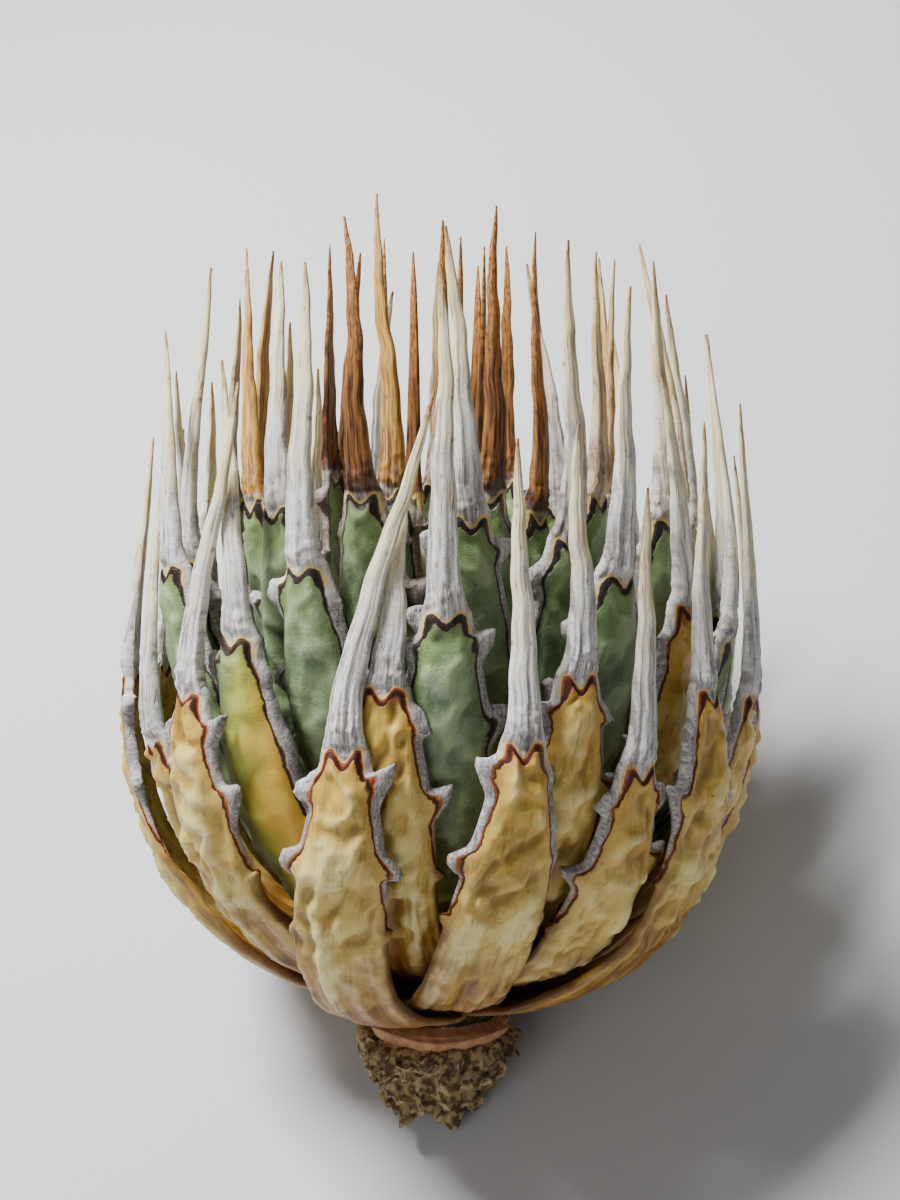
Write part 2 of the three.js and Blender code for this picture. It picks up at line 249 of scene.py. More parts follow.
# %% [markdown]
# A camera at the viewing angle of the photograph: level with the middle of the rosette and five
# degrees above it, as seen by the upright plant. As the plant leans back, this camera looks down.

# %% Camera
CAMERA_DISTANCE = 288.0
CAMERA_RISE = math.radians(5)
CAMERA_AIM = np.array((1.35, 0.0, 83.0))
PHOTO_LONG_SIDE = 1200
FOCAL_PIXELS = 1732.0

camera_data = bpy.data.cameras.new("photo_camera")
camera_data.sensor_width = 36.0
camera_data.lens = camera_data.sensor_width * FOCAL_PIXELS / PHOTO_LONG_SIDE
camera_data.clip_start = 0.01
camera_data.clip_end = 20.0
camera = bpy.data.objects.new("photo_camera", camera_data)
bpy.context.scene.collection.objects.link(camera)
bpy.context.scene.camera = camera
back = np.array((0.0, -math.cos(CAMERA_RISE), math.sin(CAMERA_RISE)))
upright = np.array((0.0, math.sin(CAMERA_RISE), math.cos(CAMERA_RISE)))
axes = np.stack([LAY @ (1.0, 0.0, 0.0), LAY @ upright, LAY @ back], axis=1)
placed = np.eye(4)
placed[:3, :3] = axes
placed[:3, 3] = to_frame(CAMERA_AIM + CAMERA_DISTANCE * back)
camera.matrix_world = Matrix(placed.tolist())
print("camera at, m", placed[:3, 3].round(3), "lens", round(camera_data.lens, 2))

# %% [markdown]
# Formulas in a node tree are long to write socket by socket. This small class wraps a socket, so
# that a line such as `a * b + 1` adds the two maths nodes and links them. It serves the trees
# that make shapes and the trees that make colours alike.

# %% A way to write formulas as nodes
class Flow:
    """A value in a node tree that can be used in a formula."""

    def __init__(self, tree, socket):
        self.tree = tree
        self.socket = socket

    def op(self, operation, *others):
        node = self.tree.nodes.new("ShaderNodeMath")
        node.operation = operation
        for socket, value in zip(node.inputs, (self, *others)):
            feed(self.tree, socket, value)
        return Flow(self.tree, node.outputs[0])

    def __add__(self, other):
        return self.op("ADD", other)

    def __sub__(self, other):
        return self.op("SUBTRACT", other)

    def __mul__(self, other):
        return self.op("MULTIPLY", other)

    def __truediv__(self, other):
        return self.op("DIVIDE", other)

    def __neg__(self):
        return self.op("MULTIPLY", -1.0)

    __radd__ = __add__
    __rmul__ = __mul__

    def __rtruediv__(self, other):
        return self.op("POWER", -1.0) * other

    def __rsub__(self, other):
        return self.op("MULTIPLY", -1.0) + other

    def size(self):
        return self.op("ABSOLUTE")

    def power(self, exponent):
        return self.op("POWER", exponent)

    def least(self, other):
        return self.op("MINIMUM", other)

    def most(self, other):
        return self.op("MAXIMUM", other)

    def ramp(self, low, high, start=0.0, end=1.0):
        """start below low, end above high, and a smooth climb between them."""
        node = self.tree.nodes.new("ShaderNodeMapRange")
        node.interpolation_type = "SMOOTHSTEP"
        for socket, value in zip(node.inputs[:5], (self, low, high, start, end)):
            feed(self.tree, socket, value)
        return Flow(self.tree, node.outputs[0])


def feed(tree, socket, value):
    """Links a value of the tree to a socket, or sets a plain number or colour on it."""
    if isinstance(value, Flow):
        tree.links.new(value.socket, socket)
    else:
        socket.default_value = value


def triple(tree, x, y, z):
    """Three values as one vector."""
    node = tree.nodes.new("ShaderNodeCombineXYZ")
    for socket, value in zip(node.inputs, (x, y, z)):
        feed(tree, socket, value)
    return Flow(tree, node.outputs[0])


def noise(tree, vector, scale, detail, roughness=0.5):
    """Soft cloud noise, about 0 to 1 with its middle at 0.5."""
    node = tree.nodes.new("ShaderNodeTexNoise")
    feed(tree, node.inputs["Vector"], vector)
    feed(tree, node.inputs["Scale"], scale)
    node.inputs["Detail"].default_value = detail
    node.inputs["Roughness"].default_value = roughness
    return Flow(tree, node.outputs[0])


def cells(tree, vector, scale):
    """Distance to the nearest of many scattered points."""
    node = tree.nodes.new("ShaderNodeTexVoronoi")
    feed(tree, node.inputs["Vector"], vector)
    feed(tree, node.inputs["Scale"], scale)
    return Flow(tree, node.outputs["Distance"])


def along_lines(field, middle, sharpness):
    """1 on the lines where a field of noise crosses its middle, and 0 a little way off them."""
    return 1 - ((field - middle).size() * sharpness).least(1.0)


print("a value in a tree knows", *(name for name in vars(Flow) if not name.startswith("_")))


# %% [markdown]
# A leaf is a section carried along a path. The path starts at the stem, swings out under the
# globe, climbs its side and goes on into the spine. Python works out the path and writes it as a
# chain of vertices, each with the sizes that the leaf has there as attributes: how wide, how thick,
# how far each tooth sticks out. The sweep itself is left to geometry nodes.

# %% The path of a leaf
BLADE = ((0, 0.49), (4, 0.59), (8, 0.73), (13, 0.87), (18, 0.97), (24, 1.03), (32, 1.06), (42, 1.05))
BAND_GREEN = ((0, 0.9), (4, 1.05), (12, 1.15), (20, 1.0), (28, 0.7), (36, 0.15), (44, -0.8))
BAND_DRY = ((0, 0.9), (4, 1.05), (10, 1.1), (15, 0.95), (20, 0.5), (26, 0.1), (34, -0.8))
SPINE_TAPER = ((0, 1.44), (0.05, 1.17), (0.1, 1.02), (0.32, 0.78), (0.6, 0.52), (0.86, 0.27), (1, 0.08))
TOOTH_SPREAD = 0.22
BLADE_STEP = 0.85
TOP_STEP = 0.4
SPINE_STEP = 1.2
PATH_VALUES = (
    "turn", "reach", "height", "lean_out", "rise", "half", "flesh", "hollow", "edge",
    "below", "tine", "band", "left", "right", "slip_left", "slip_right", "round",
)


def meridian(leaf):
    """Points on the line down the middle of the blade, and the distance run to each."""
    n = leaf["n"]
    k = leaf["reach"] / along(n, TOP_REACH)
    p = np.array((
        (along(n, FOOT_REACH), along(n, FOOT_HEIGHT)),
        (along(n, BELLY_OUT) * (0.5 + 0.5 * k), along(n, BELLY_LOW)),
        (along(n, SIDE_OUT) * k, along(n, SIDE_LOW)),
        (leaf["reach"], along(n, TOP_HEIGHT)),
    ))
    t = np.linspace(0, 1.36, 400)[:, None]
    line = (1 - t) ** 3 * p[0] + 3 * t * (1 - t) ** 2 * p[1] + 3 * t * t * (1 - t) * p[2] + t ** 3 * p[3]
    end = int(np.argmax(line[:, 1] >= leaf["top_height"]))
    share = (leaf["top_height"] - line[end - 1, 1]) / (line[end, 1] - line[end - 1, 1])
    line[end] = line[end - 1] + share * (line[end] - line[end - 1])
    line = line[: end + 1]
    run = np.concatenate(([0], np.cumsum(np.hypot(*np.diff(line, axis=0).T))))
    return line, run


def tooth_bumps(leaf, below, side):
    """How far the teeth of one side stick out at each point, and how far their ends slide along."""
    gap = 11.5 if leaf["teeth"] == 3 else 10
    out = np.zeros_like(below)
    slip = np.zeros_like(below)
    for k in range(leaf["teeth"]):
        n = leaf["n"]
        middle = 5.5 + gap * k + 1.2 * scatter(n, 10 + k)
        size = scatter(n, side + k)
        reach = 0.3 if size < -0.6 else TOOTH * (0.95 + 0.35 * size)
        width = 1.7 + 0.5 * scatter(n, side + 3 + k)
        if leaf["kind"] == "dry_leaf" and k == 2:
            reach *= 0.45
            width *= 0.5
        bump = np.exp(-(np.abs(below - middle) / width) ** 2.4)
        out += (reach + 0.25) * bump
        hook = 0.5 + 1.5 * scatter(n, side + 6 + k)
        slip += bump * (hook - TOOTH_SPREAD * (below - middle)) * min(reach, 1.6)
    return out, slip


print("a tooth is up to", round(TOOTH * 1.3, 1), "mm long")

# %% [markdown]
# The spine leaves the blade in the blade's own direction and ends where its tip was seen, so it is
# one smooth curve between the two, with a slight sway. At its foot it is still as flat as the
# blade, and it is round from a tenth of its length on.

# %% The path of a spine
def spine_path(leaf, top_reach, up):
    """The spine goes on from the top of the blade in a slow double bend."""
    out = outward(leaf["top_turn"])
    side = sideways(leaf["top_turn"])
    start = out * (top_reach + leaf["flesh"] * 0.3)
    start[2] = leaf["top_height"]
    tip = outward(leaf["tip_turn"]) * leaf["tip_reach"]
    tip[2] = leaf["tip_height"]
    away = tip - start
    size = np.linalg.norm(away)
    leave = out * up[0]
    leave[2] = up[1]
    c1 = start + leave * size * 0.3
    c2 = tip - away * 0.3
    t = np.concatenate((np.arange(0.35, 6, TOP_STEP) / size, np.arange(6, size, SPINE_STEP) / size, (1.0,)))
    u = t[:, None]
    p = (1 - u) ** 3 * start + 3 * u * (1 - u) ** 2 * c1 + 3 * u * u * (1 - u) * c2 + u ** 3 * tip
    sway = 0.6 * scatter(leaf["n"], 40) * np.sin(2 * np.pi * t) * (1 - 0.3 * t)
    wobble = 0.16 * np.sin(t * 17 + leaf["n"]) + 0.1 * np.sin(t * 41 + 2 * leaf["n"])
    p += np.outer(sway + wobble * np.sin(np.pi * t), side)
    reach = np.hypot(p[:, 0], p[:, 1])
    turn = np.unwrap(np.arctan2(p[:, 0], -p[:, 1]))
    turn += 2 * np.pi * round((math.radians(leaf["top_turn"]) - turn[0]) / (2 * np.pi))
    fore = np.gradient(np.stack((reach, p[:, 2]), axis=1), axis=0)
    fore /= np.hypot(*fore.T)[:, None]
    half = leaf["spine"] * along(t, SPINE_TAPER)
    thick = half * 1.3
    early = np.clip(t / 0.1, 0, 1)
    flesh = leaf["flesh"] * 0.8 * (1 - early) + thick * 0.55 * early
    first_hollow = leaf["flesh"] * 0.8 - 1.75 if leaf["flesh"] * 0.8 > 1.6 else -0.35
    hollow = first_hollow * (1 - early) - thick * 0.3 * early
    # The middle of the path slides from the face of the blade to the middle of the spine
    shift = (leaf["flesh"] * 0.3) * np.clip(1 - t * size / 4.5, 0, 1) ** 2
    return {
        "turn": turn, "reach": reach - shift * fore[:, 1], "height": p[:, 2] + shift * fore[:, 0],
        "lean_out": fore[:, 0], "rise": fore[:, 1], "half": half,
        "flesh": flesh, "hollow": hollow, "edge": EDGE * (1 - early) + thick * 0.35 * early,
        "below": -t * size, "tine": t, "band": 0 * t + 0.75, "left": 0 * t, "right": 0 * t,
        "slip_left": 0 * t, "slip_right": 0 * t, "round": early,
    }


# %% [markdown]
# The whole path is the blade's values and then the spine's, row by row. The rows stand closer
# together near the top of the blade, where the border line has its M.

# %% From foot to tip
def leaf_path(leaf):
    """Sizes along one leaf, foot first, as a dictionary of arrays."""
    line, run = meridian(leaf)
    length = run[-1]
    below = np.concatenate((
        np.arange(length, 9, -BLADE_STEP), np.arange(9, 0, -TOP_STEP), (0.0,)))
    s = length - below
    reach = np.interp(s, run, line[:, 0])
    height = np.interp(s, run, line[:, 1])
    slope = np.gradient(line, run, axis=0)
    slope /= np.hypot(*slope.T)[:, None]
    lean_out = np.interp(s, run, slope[:, 0])
    rise = np.interp(s, run, slope[:, 1])
    f = s / length
    turn = leaf["foot"] + (leaf["top_turn"] - leaf["foot"]) * f * f * (3 - 2 * f)
    footward = np.clip((below - length + 26) / 26, 0, 1)
    half = HALF_WIDTH * leaf["width"] * along(below, BLADE) * (1 - footward)
    half += leaf["foothold"] * footward
    start = along(below, ((0, 0.8), (10, 0.9), (24, 1), (40, 0.85)))
    flesh = np.maximum(leaf["flesh"] * start * (1 - footward) + 0.62 * footward, 0.6)
    hollow = np.where(flesh > 1.6, flesh - 1.75, -0.35)
    edge = EDGE * (1 - 0.25 * footward)
    left, slip_left = tooth_bumps(leaf, below, 20)
    right, slip_right = tooth_bumps(leaf, below, 30)
    band = BAND_DRY if leaf["kind"] == "dry_leaf" else BAND_GREEN
    blade = {
        "turn": np.radians(turn), "reach": reach, "height": height, "lean_out": lean_out,
        "rise": rise, "half": half, "flesh": flesh, "hollow": hollow, "edge": edge,
        "below": below, "tine": 0 * below, "band": along(below, band), "left": left, "right": right,
        "slip_left": slip_left, "slip_right": slip_right, "round": 0 * below,
    }
    spine = spine_path(leaf, reach[-1], (lean_out[-1], rise[-1]))
    return {key: np.concatenate((blade[key], spine[key])) for key in PATH_VALUES}


def chain(name, path, constants):
    """A row of vertices joined by edges, with the path's values as attributes."""
    count = len(next(iter(path.values())))
    mesh = bpy.data.meshes.new(name)
    steps = [(i, i + 1) for i in range(count - 1)]
    mesh.from_pydata([(0.0, 0.0, float(i)) for i in range(count)], steps, [])
    for key, values in {**path, **constants}.items():
        attribute = mesh.attributes.new(key, "FLOAT", "POINT")
        attribute.data.foreach_set("value", np.broadcast_to(values, count).astype(np.float32).copy())
    piece = bpy.data.objects.new(name, mesh)
    bpy.context.scene.collection.objects.link(piece)
    return piece


longest = max(rosette, key=lambda leaf: meridian(leaf)[1][-1])
print("longest blade, mm", round(meridian(longest)[1][-1], 1), "rows", len(leaf_path(longest)["turn"]))

# %% [markdown]
# One node tree makes all the leaves. It turns the chain into a curve, sweeps a ring of points along
# it, and then moves every point to its place. Its inputs say how dry, how crumpled and how finely
# made the leaf is. A few helpers first, which serve the stem's tree too.

# %% Helpers for geometry trees
BOX_MARGIN = 0.00002


def new_tree(name, inputs):
    """A geometry node tree with named inputs, and the values that enter it."""
    tree = bpy.data.node_groups.new(name, "GeometryNodeTree")
    tree.interface.new_socket(name="Geometry", in_out="INPUT", socket_type="NodeSocketGeometry")
    for label, (kind, default) in inputs.items():
        socket = tree.interface.new_socket(name=label, in_out="INPUT", socket_type=kind)
        if default is not None:
            socket.default_value = default
    tree.interface.new_socket(name="Geometry", in_out="OUTPUT", socket_type="NodeSocketGeometry")
    entry = tree.nodes.new("NodeGroupInput")
    leave = tree.nodes.new("NodeGroupOutput")
    return tree, {s.name: Flow(tree, s) for s in entry.outputs if s.name}, leave


def step(tree, kind, geometry, **values):
    """A node that takes geometry in and gives it out."""
    node = tree.nodes.new(kind)
    tree.links.new(geometry.socket, node.inputs[0])
    for label, value in values.items():
        feed(tree, node.inputs[label.replace("_", " ")], value)
    return Flow(tree, node.outputs[0])


def named(tree, name):
    """Reads an attribute of the geometry."""
    node = tree.nodes.new("GeometryNodeInputNamedAttribute")
    node.data_type = "FLOAT"
    node.inputs["Name"].default_value = name
    return Flow(tree, node.outputs[0])


def keep(tree, geometry, name, value):
    """Writes a value on every point, as an attribute."""
    node = tree.nodes.new("GeometryNodeStoreNamedAttribute")
    node.data_type = "FLOAT"
    node.domain = "POINT"
    tree.links.new(geometry.socket, node.inputs["Geometry"])
    node.inputs["Name"].default_value = name
    feed(tree, node.inputs["Value"], value)
    return Flow(tree, node.outputs[0])


def press_into_box(tree, geometry, inset=0.0):
    """Flattens what would dip into the surface under the plant or stand out of the model's box.

    inset holds a blade's inner face back a little more, so it never meets the outer one.
    """
    split = tree.nodes.new("ShaderNodeSeparateXYZ")
    feed(tree, split.inputs[0], Flow(tree, tree.nodes.new("GeometryNodeInputPosition").outputs[0]))
    kept = [Flow(tree, s).most(inset + (low + BOX_MARGIN)).least((high - BOX_MARGIN) - inset)
            for s, low, high in zip(split.outputs, CAD_LOW, CAD_HIGH)]
    return step(tree, "GeometryNodeSetPosition", geometry, Position=triple(tree, *kept))


def sweep_ring(tree, given):
    """A tube along the chain whose points know how far round they are, as attribute `around`."""
    ring = tree.nodes.new("GeometryNodeCurvePrimitiveCircle")
    feed(tree, ring.inputs["Resolution"], given["Section points"])
    index = Flow(tree, tree.nodes.new("GeometryNodeInputIndex").outputs[0])
    ring = keep(tree, Flow(tree, ring.outputs[0]), "around", index / given["Section points"])
    curve = step(tree, "GeometryNodeMeshToCurve", given["Geometry"])
    sweep = tree.nodes.new("GeometryNodeCurveToMesh")
    tree.links.new(curve.socket, sweep.inputs["Curve"])
    tree.links.new(ring.socket, sweep.inputs["Profile Curve"])
    sweep.inputs["Fill Caps"].default_value = True
    return Flow(tree, sweep.outputs[0])


print("helpers for trees:", *(f.__name__ for f in (new_tree, step, named, keep, press_into_box, sweep_ring)))


# %% [markdown]
# Every point of the swept ring is placed by formula. Three things have to be known first: where on
# the section the point is, how far the teeth pull it out, and how far it lies from the border
# between living blade and horn. All of it is in millimetres, on the leaf rolled out flat.

# %% Where a point is on the leaf
TOOTH_ROOT = 1.9
NOTCH_HALF = 1.75


def place_on_section(tree):
    """c runs from -1 at the left edge to 1 at the right; back is 1 on the outer face."""
    around = named(tree, "around")
    angle = around * (2 * math.pi)
    c = (1 - (around - 0.5).size() * 4) * 0.55 - angle.op("COSINE") * 0.45
    return {
        "c": c,
        "wide": c.size().least(1.0),
        "back": around.op("LESS_THAN", 0.5),
        "outer": (angle.op("SINE") * 7).most(-1.0).least(1.0),
    }


def pull_teeth(tree, v, on, seed):
    """Teeth are pulled out of the margin band, spread at their ends and hooked along the leaf."""
    c, wide = on["c"], on["wide"]
    right = c.op("GREATER_THAN", 0.0)
    tooth = v["left"] * (1 - right) + v["right"] * right
    lengthwise = v["slip_left"] * (1 - right) + v["slip_right"] * right
    outmost = wide.ramp(1 - TOOTH_ROOT / v["half"], 1.0)
    warp = (noise(tree, triple(tree, c * 4, v["below"], seed * 2.9), 0.5, 2) - 0.5) * tooth * outmost
    x = c * v["half"] + c.op("SIGN") * (outmost * tooth + warp * 1.2)
    slip = outmost * lengthwise + warp * 1.6
    return x, slip, outmost * tooth


def border_distance(tree, v, on, place):
    """How far out on the horn a point is, or, below 0, how far inside the edge of the blade."""
    ragged = (noise(tree, place, 0.45, 2) - 0.5) * 0.7
    side_gap = v["band"] - v["half"] * (1 - on["wide"])
    aside = (on["c"] * v["half"] - v["notch_at"]).size() / NOTCH_HALF
    dip = ((aside.least(1.0) * math.pi).op("COSINE") * 0.5 + 0.5) * v["notch"]
    sag = (aside - 1).most(0.0).power(2.0) * 1.5
    return side_gap.most((dip + sag - v["below"]) * 0.8) + ragged


print("a tooth's root is", TOOTH_ROOT, "mm in from the edge of the blade")


# %% [markdown]
# What makes each blade its own is relief of about a millimetre. Dry leaves have collapsed: they are
# puckered slantwise above and pleated towards the foot. Living ones are plump, with prints of their
# neighbours. Horn is gritty on the margins and grooved on the spine. These are shapes and not bumps
# in the material, because their shadows and their outline are seen.

# %% Relief
SWELL_LIMIT = 0.65
CREASE_LIMIT = 1.0


def dry_relief(tree, given, v, x, wide, place, seed):
    """Puckers, creases and pleats, with limits that keep the blade off its neighbours."""
    slant = triple(tree, x + v["below"] * 0.3, v["below"] * 0.62, seed * 3.1)
    broad = (noise(tree, slant, 0.13, 2) - 0.5) * 5.0
    crease = along_lines(noise(tree, slant, 0.15, 1), 0.47, 14)
    crease = crease * noise(tree, place, 0.09, 1).ramp(0.36, 0.56)
    across_slant = triple(tree, x * 0.8 - v["below"] * 0.35, v["below"], seed * 6.3)
    pucker = along_lines(noise(tree, across_slant, 0.16, 1), 0.5, 10)
    fold = (noise(tree, triple(tree, x, v["below"] * 0.08, seed * 5.7), 0.36, 1) - 0.5) * 6.0
    fold = fold * v["below"].ramp(8.0, 42.0, 0.25, 1.0) * (1 - wide.power(6.0) * 0.8)
    fold = fold * v["below"].ramp(44.0, 60.0, 1.0, 0.3)
    crumple = given["Crumple"] * v["below"].ramp(28.0, 52.0, 1.0, 0.2) * (1 - wide.power(5.0) * 0.55)
    relief = ((crumple * broad + given["Pleats"] * fold) * 1.3).op("TANH") * SWELL_LIMIT
    return (relief + crumple * (pucker * 0.75 - crease)).most(-CREASE_LIMIT)


def living_relief(tree, v, x, seed):
    """Shallow dents, with a few soft ridges between them."""
    dents = (noise(tree, triple(tree, x, v["below"] * 0.75, seed * 9.1), 0.24, 2) - 0.5) * 3.4
    ridges = noise(tree, triple(tree, x, v["below"] * 0.8, seed * 4.3), 0.15, 1)
    return dents + along_lines(ridges, 0.5, 11) * 0.8


def horn_relief(tree, v, c, place, rim, pulled, seed):
    """Grit on the margins and teeth, and grooves along the spine."""
    horny = rim.ramp(0.0, 0.6)
    grit = (noise(tree, place, 0.75, 3, 0.65) - 0.5) * (1.4 + pulled * 0.5)
    grit = grit * horny * v["tine"].ramp(0.0, 0.25, 1.0, 0.2)
    groove = noise(tree, triple(tree, c * 2.4, v["below"] * 0.03, seed * 2.3), 1.0, 2) - 0.5
    groove = groove * v["half"] * horny * v["tine"].ramp(0.05, 0.4, 0.75, 0.35)
    return grit + groove


print("a crease is at most", CREASE_LIMIT, "mm deep")


# %% [markdown]
# Now the tree itself: sweep the ring, work out each point's place across, along and off the middle
# of the leaf, bend that round the plant's axis, lay the plant down, and keep it in its box.

# %% The leaf tree
LEAST_BEND = 7.0
FACE_INSET = 0.0005


def thickness(v, on, pulled):
    """The back swells, the face is hollow, and the edges are blunt."""
    wide, back = on["wide"], on["back"]
    edge = v["edge"] * 0.5 * (1 + pulled * 0.3)
    swell = (1 - wide.power(2.6 - v["round"] * 0.6)).most(0.0).power(1 - v["round"] * 0.35)
    hollow = 1 - wide * wide
    off = (v["flesh"] - edge) * swell * back + (v["hollow"] + edge) * hollow * (1 - back)
    return off + on["outer"] * edge


def make_leaf_tree():
    """The tree that turns a leaf's path into the leaf."""
    tree, given, leave = new_tree("agave_leaf", {
        "Section points": ("NodeSocketInt", 48),
        "Crumple": ("NodeSocketFloat", 0.0),
        "Pleats": ("NodeSocketFloat", 0.0),
        "Swell": ("NodeSocketFloat", 0.25),
        "Edge curl": ("NodeSocketFloat", 0.0),
        "Seed": ("NodeSocketFloat", 0.0),
        "Rotation": ("NodeSocketRotation", None),
        "Shift": ("NodeSocketVector", None),
        "Material": ("NodeSocketMaterial", None),
    })
    body = sweep_ring(tree, given)
    v = {key: named(tree, key) for key in (*PATH_VALUES, "notch", "notch_at")}
    on = place_on_section(tree)
    wide, back, seed = on["wide"], on["back"], given["Seed"]
    x, slip, pulled = pull_teeth(tree, v, on, seed)
    place = triple(tree, x, v["below"], seed * 7.3)
    rim = border_distance(tree, v, on, place)
    tissue = (-rim).ramp(0.1, 1.8)
    relief = dry_relief(tree, given, v, x, wide, place, seed)
    relief = (relief + given["Swell"] * living_relief(tree, v, x, seed)) * tissue
    curl = wide.power(4.0) * given["Edge curl"] * (noise(tree, place, 0.08, 1) - 0.42) * 5
    plump = (-rim).ramp(0.0, 0.7) * 0.28 * back
    off = thickness(v, on, pulled) + plump + relief + curl * tissue
    off = off + horn_relief(tree, v, on["c"], place, rim, pulled, seed) * on["outer"]

    turn = v["turn"] + x / v["reach"].most(LEAST_BEND)
    reach = v["reach"] + v["rise"] * off + v["lean_out"] * slip
    height = v["height"] - v["lean_out"] * off + v["rise"] * slip
    position = triple(tree, turn.op("SINE") * reach, -(turn.op("COSINE") * reach), height)
    for name, value in (("across", x), ("rim", rim), ("back", back), ("relief", relief)):
        body = keep(tree, body, name, value)
    body = step(tree, "GeometryNodeSetPosition", body, Position=position)
    body = step(tree, "GeometryNodeTransform", body, Scale=(MM, MM, MM),
                Rotation=given["Rotation"], Translation=given["Shift"])
    body = press_into_box(tree, body, (1 - named(tree, "back")) * FACE_INSET)
    body = step(tree, "GeometryNodeSetShadeSmooth", body)
    body = step(tree, "GeometryNodeRealizeInstances", body)
    body = step(tree, "GeometryNodeSetMaterial", body, Material=given["Material"])
    tree.links.new(body.socket, leave.inputs[0])
    return tree


leaf_tree = make_leaf_tree()
print("leaf tree:", len(leaf_tree.nodes), "nodes")


# %% [markdown]
# A tree's result lives only in its modifier. Here it becomes the object's own plain mesh, and the
# modifier goes. The attributes that the materials read stay, the ones that only shaped the mesh
# don't. A sweep can come out inside out, which the sign of its volume tells.

# %% Keep what a tree makes
SHAPING = (
    *(key for key in PATH_VALUES if key not in ("below", "tine")),
    "around", "notch", "notch_at", "back", "level", "girth", "centre",
)


def points_of(mesh):
    """The places of a mesh's vertices, one row each."""
    points = np.zeros(len(mesh.vertices) * 3)
    mesh.vertices.foreach_get("co", points)
    return points.reshape(-1, 3)


def triangles_of(mesh):
    """Three vertex numbers for each triangle."""
    mesh.calc_loop_triangles()
    corners = np.zeros(len(mesh.loop_triangles) * 3, int)
    mesh.loop_triangles.foreach_get("vertices", corners)
    return corners.reshape(-1, 3)


def signed_volume(mesh):
    """Above 0 where the faces of a closed mesh point outwards."""
    a, b, c = points_of(mesh)[triangles_of(mesh)].transpose(1, 0, 2)
    return float(np.einsum("ij,ij->i", a, np.cross(b, c)).sum() / 6)


def grow(piece, tree, **inputs):
    """Gives piece the tree as a modifier, sets its inputs, and keeps the mesh that comes out."""
    modifier = piece.modifiers.new("shape", "NODES")
    modifier.node_group = tree
    sockets = {s.name: s.identifier for s in tree.interface.items_tree if s.item_type == "SOCKET"}
    for label, value in inputs.items():
        modifier[sockets[label.replace("_", " ")]] = value
    piece.update_tag()
    bpy.context.view_layer.update()
    graph = bpy.context.evaluated_depsgraph_get()
    mesh = bpy.data.meshes.new_from_object(
        piece.evaluated_get(graph), preserve_all_data_layers=True, depsgraph=graph)
    piece.modifiers.remove(modifier)
    path_mesh = piece.data
    piece.data = mesh
    mesh.name = piece.name
    bpy.data.meshes.remove(path_mesh)
    for key in SHAPING:
        if key in mesh.attributes:
            mesh.attributes.remove(mesh.attributes[key])
    if signed_volume(mesh) < 0:
        mesh.flip_normals()
    return piece


print(len(SHAPING), "attributes are dropped once a mesh has its shape")


# %% [markdown]
# Colours. The three kinds of leaf differ only in their blades. The horn and the dark line where it
# ends are alike on all, so those two are node groups: built once, placed in each material, and
# given that material's own values. Again some helpers come first.

# %% Helpers for colours
def shade_group(name, inputs, outputs):
    """A shader node group with named inputs and outputs."""
    tree = bpy.data.node_groups.new(name, "ShaderNodeTree")
    for label, default in inputs.items():
        kind = "NodeSocketColor" if isinstance(default, tuple) and len(default) == 4 else "NodeSocketFloat"
        socket = tree.interface.new_socket(name=label, in_out="INPUT", socket_type=kind)
        socket.default_value = default
    for label, kind in outputs.items():
        tree.interface.new_socket(name=label, in_out="OUTPUT", socket_type=kind)
    entry = tree.nodes.new("NodeGroupInput")
    leave = tree.nodes.new("NodeGroupOutput")
    return tree, {s.name: Flow(tree, s) for s in entry.outputs if s.name}, leave


def use(tree, group, **inputs):
    """Places a group in a tree, feeds it, and gives its outputs by name."""
    node = tree.nodes.new("ShaderNodeGroup")
    node.node_tree = group
    for label, value in inputs.items():
        feed(tree, node.inputs[label.replace("_", " ")], value)
    return {s.name: Flow(tree, s) for s in node.outputs}


def mix(tree, factor, first, second):
    """first where factor is 0, second where it is 1."""
    node = tree.nodes.new("ShaderNodeMix")
    node.data_type = "RGBA"
    feed(tree, node.inputs[0], factor)
    feed(tree, node.inputs[6], first)
    feed(tree, node.inputs[7], second)
    return Flow(tree, node.outputs[2])


def value_of(tree, name):
    """Reads an attribute of the mesh in a material."""
    node = tree.nodes.new("ShaderNodeAttribute")
    node.attribute_name = name
    return Flow(tree, node.outputs["Fac"])


def tint(r, g, b):
    """A colour given as it looks on a screen, 0 to 255."""
    linear = [((x / 255 + 0.055) / 1.055) ** 2.4 if x > 10 else x / 255 / 12.92 for x in (r, g, b)]
    return (*linear, 1.0)


def give(leave, **outputs):
    """Links a group's results to its outputs."""
    for label, value in outputs.items():
        feed(value.tree, leave.inputs[label.replace("_", " ")], value)


def raise_surface(tree, shader, height, strength, distance):
    """A bump of that height, in metres at most, on a material's surface."""
    bump = tree.nodes.new("ShaderNodeBump")
    bump.inputs["Strength"].default_value = strength
    bump.inputs["Distance"].default_value = distance
    feed(tree, bump.inputs["Height"], height)
    tree.links.new(bump.outputs[0], shader.inputs["Normal"])


def new_material(name):
    """A material, its tree and its main shader."""
    material = bpy.data.materials.new(name)
    material.use_nodes = True
    return material, material.node_tree, material.node_tree.nodes["Principled BSDF"]


print("straw yellow, as light:", [round(x, 3) for x in tint(214, 188, 104)])


# %% [markdown]
# Horn is dead tissue, like a fingernail left in the sun. Old horn is grey-white with lengthwise
# streaks and dark specks, cream further up and tan at the tip. Young horn is honey to dark brown.
# The group takes the place on the leaf from the mesh's attributes, so streaks follow the spine.

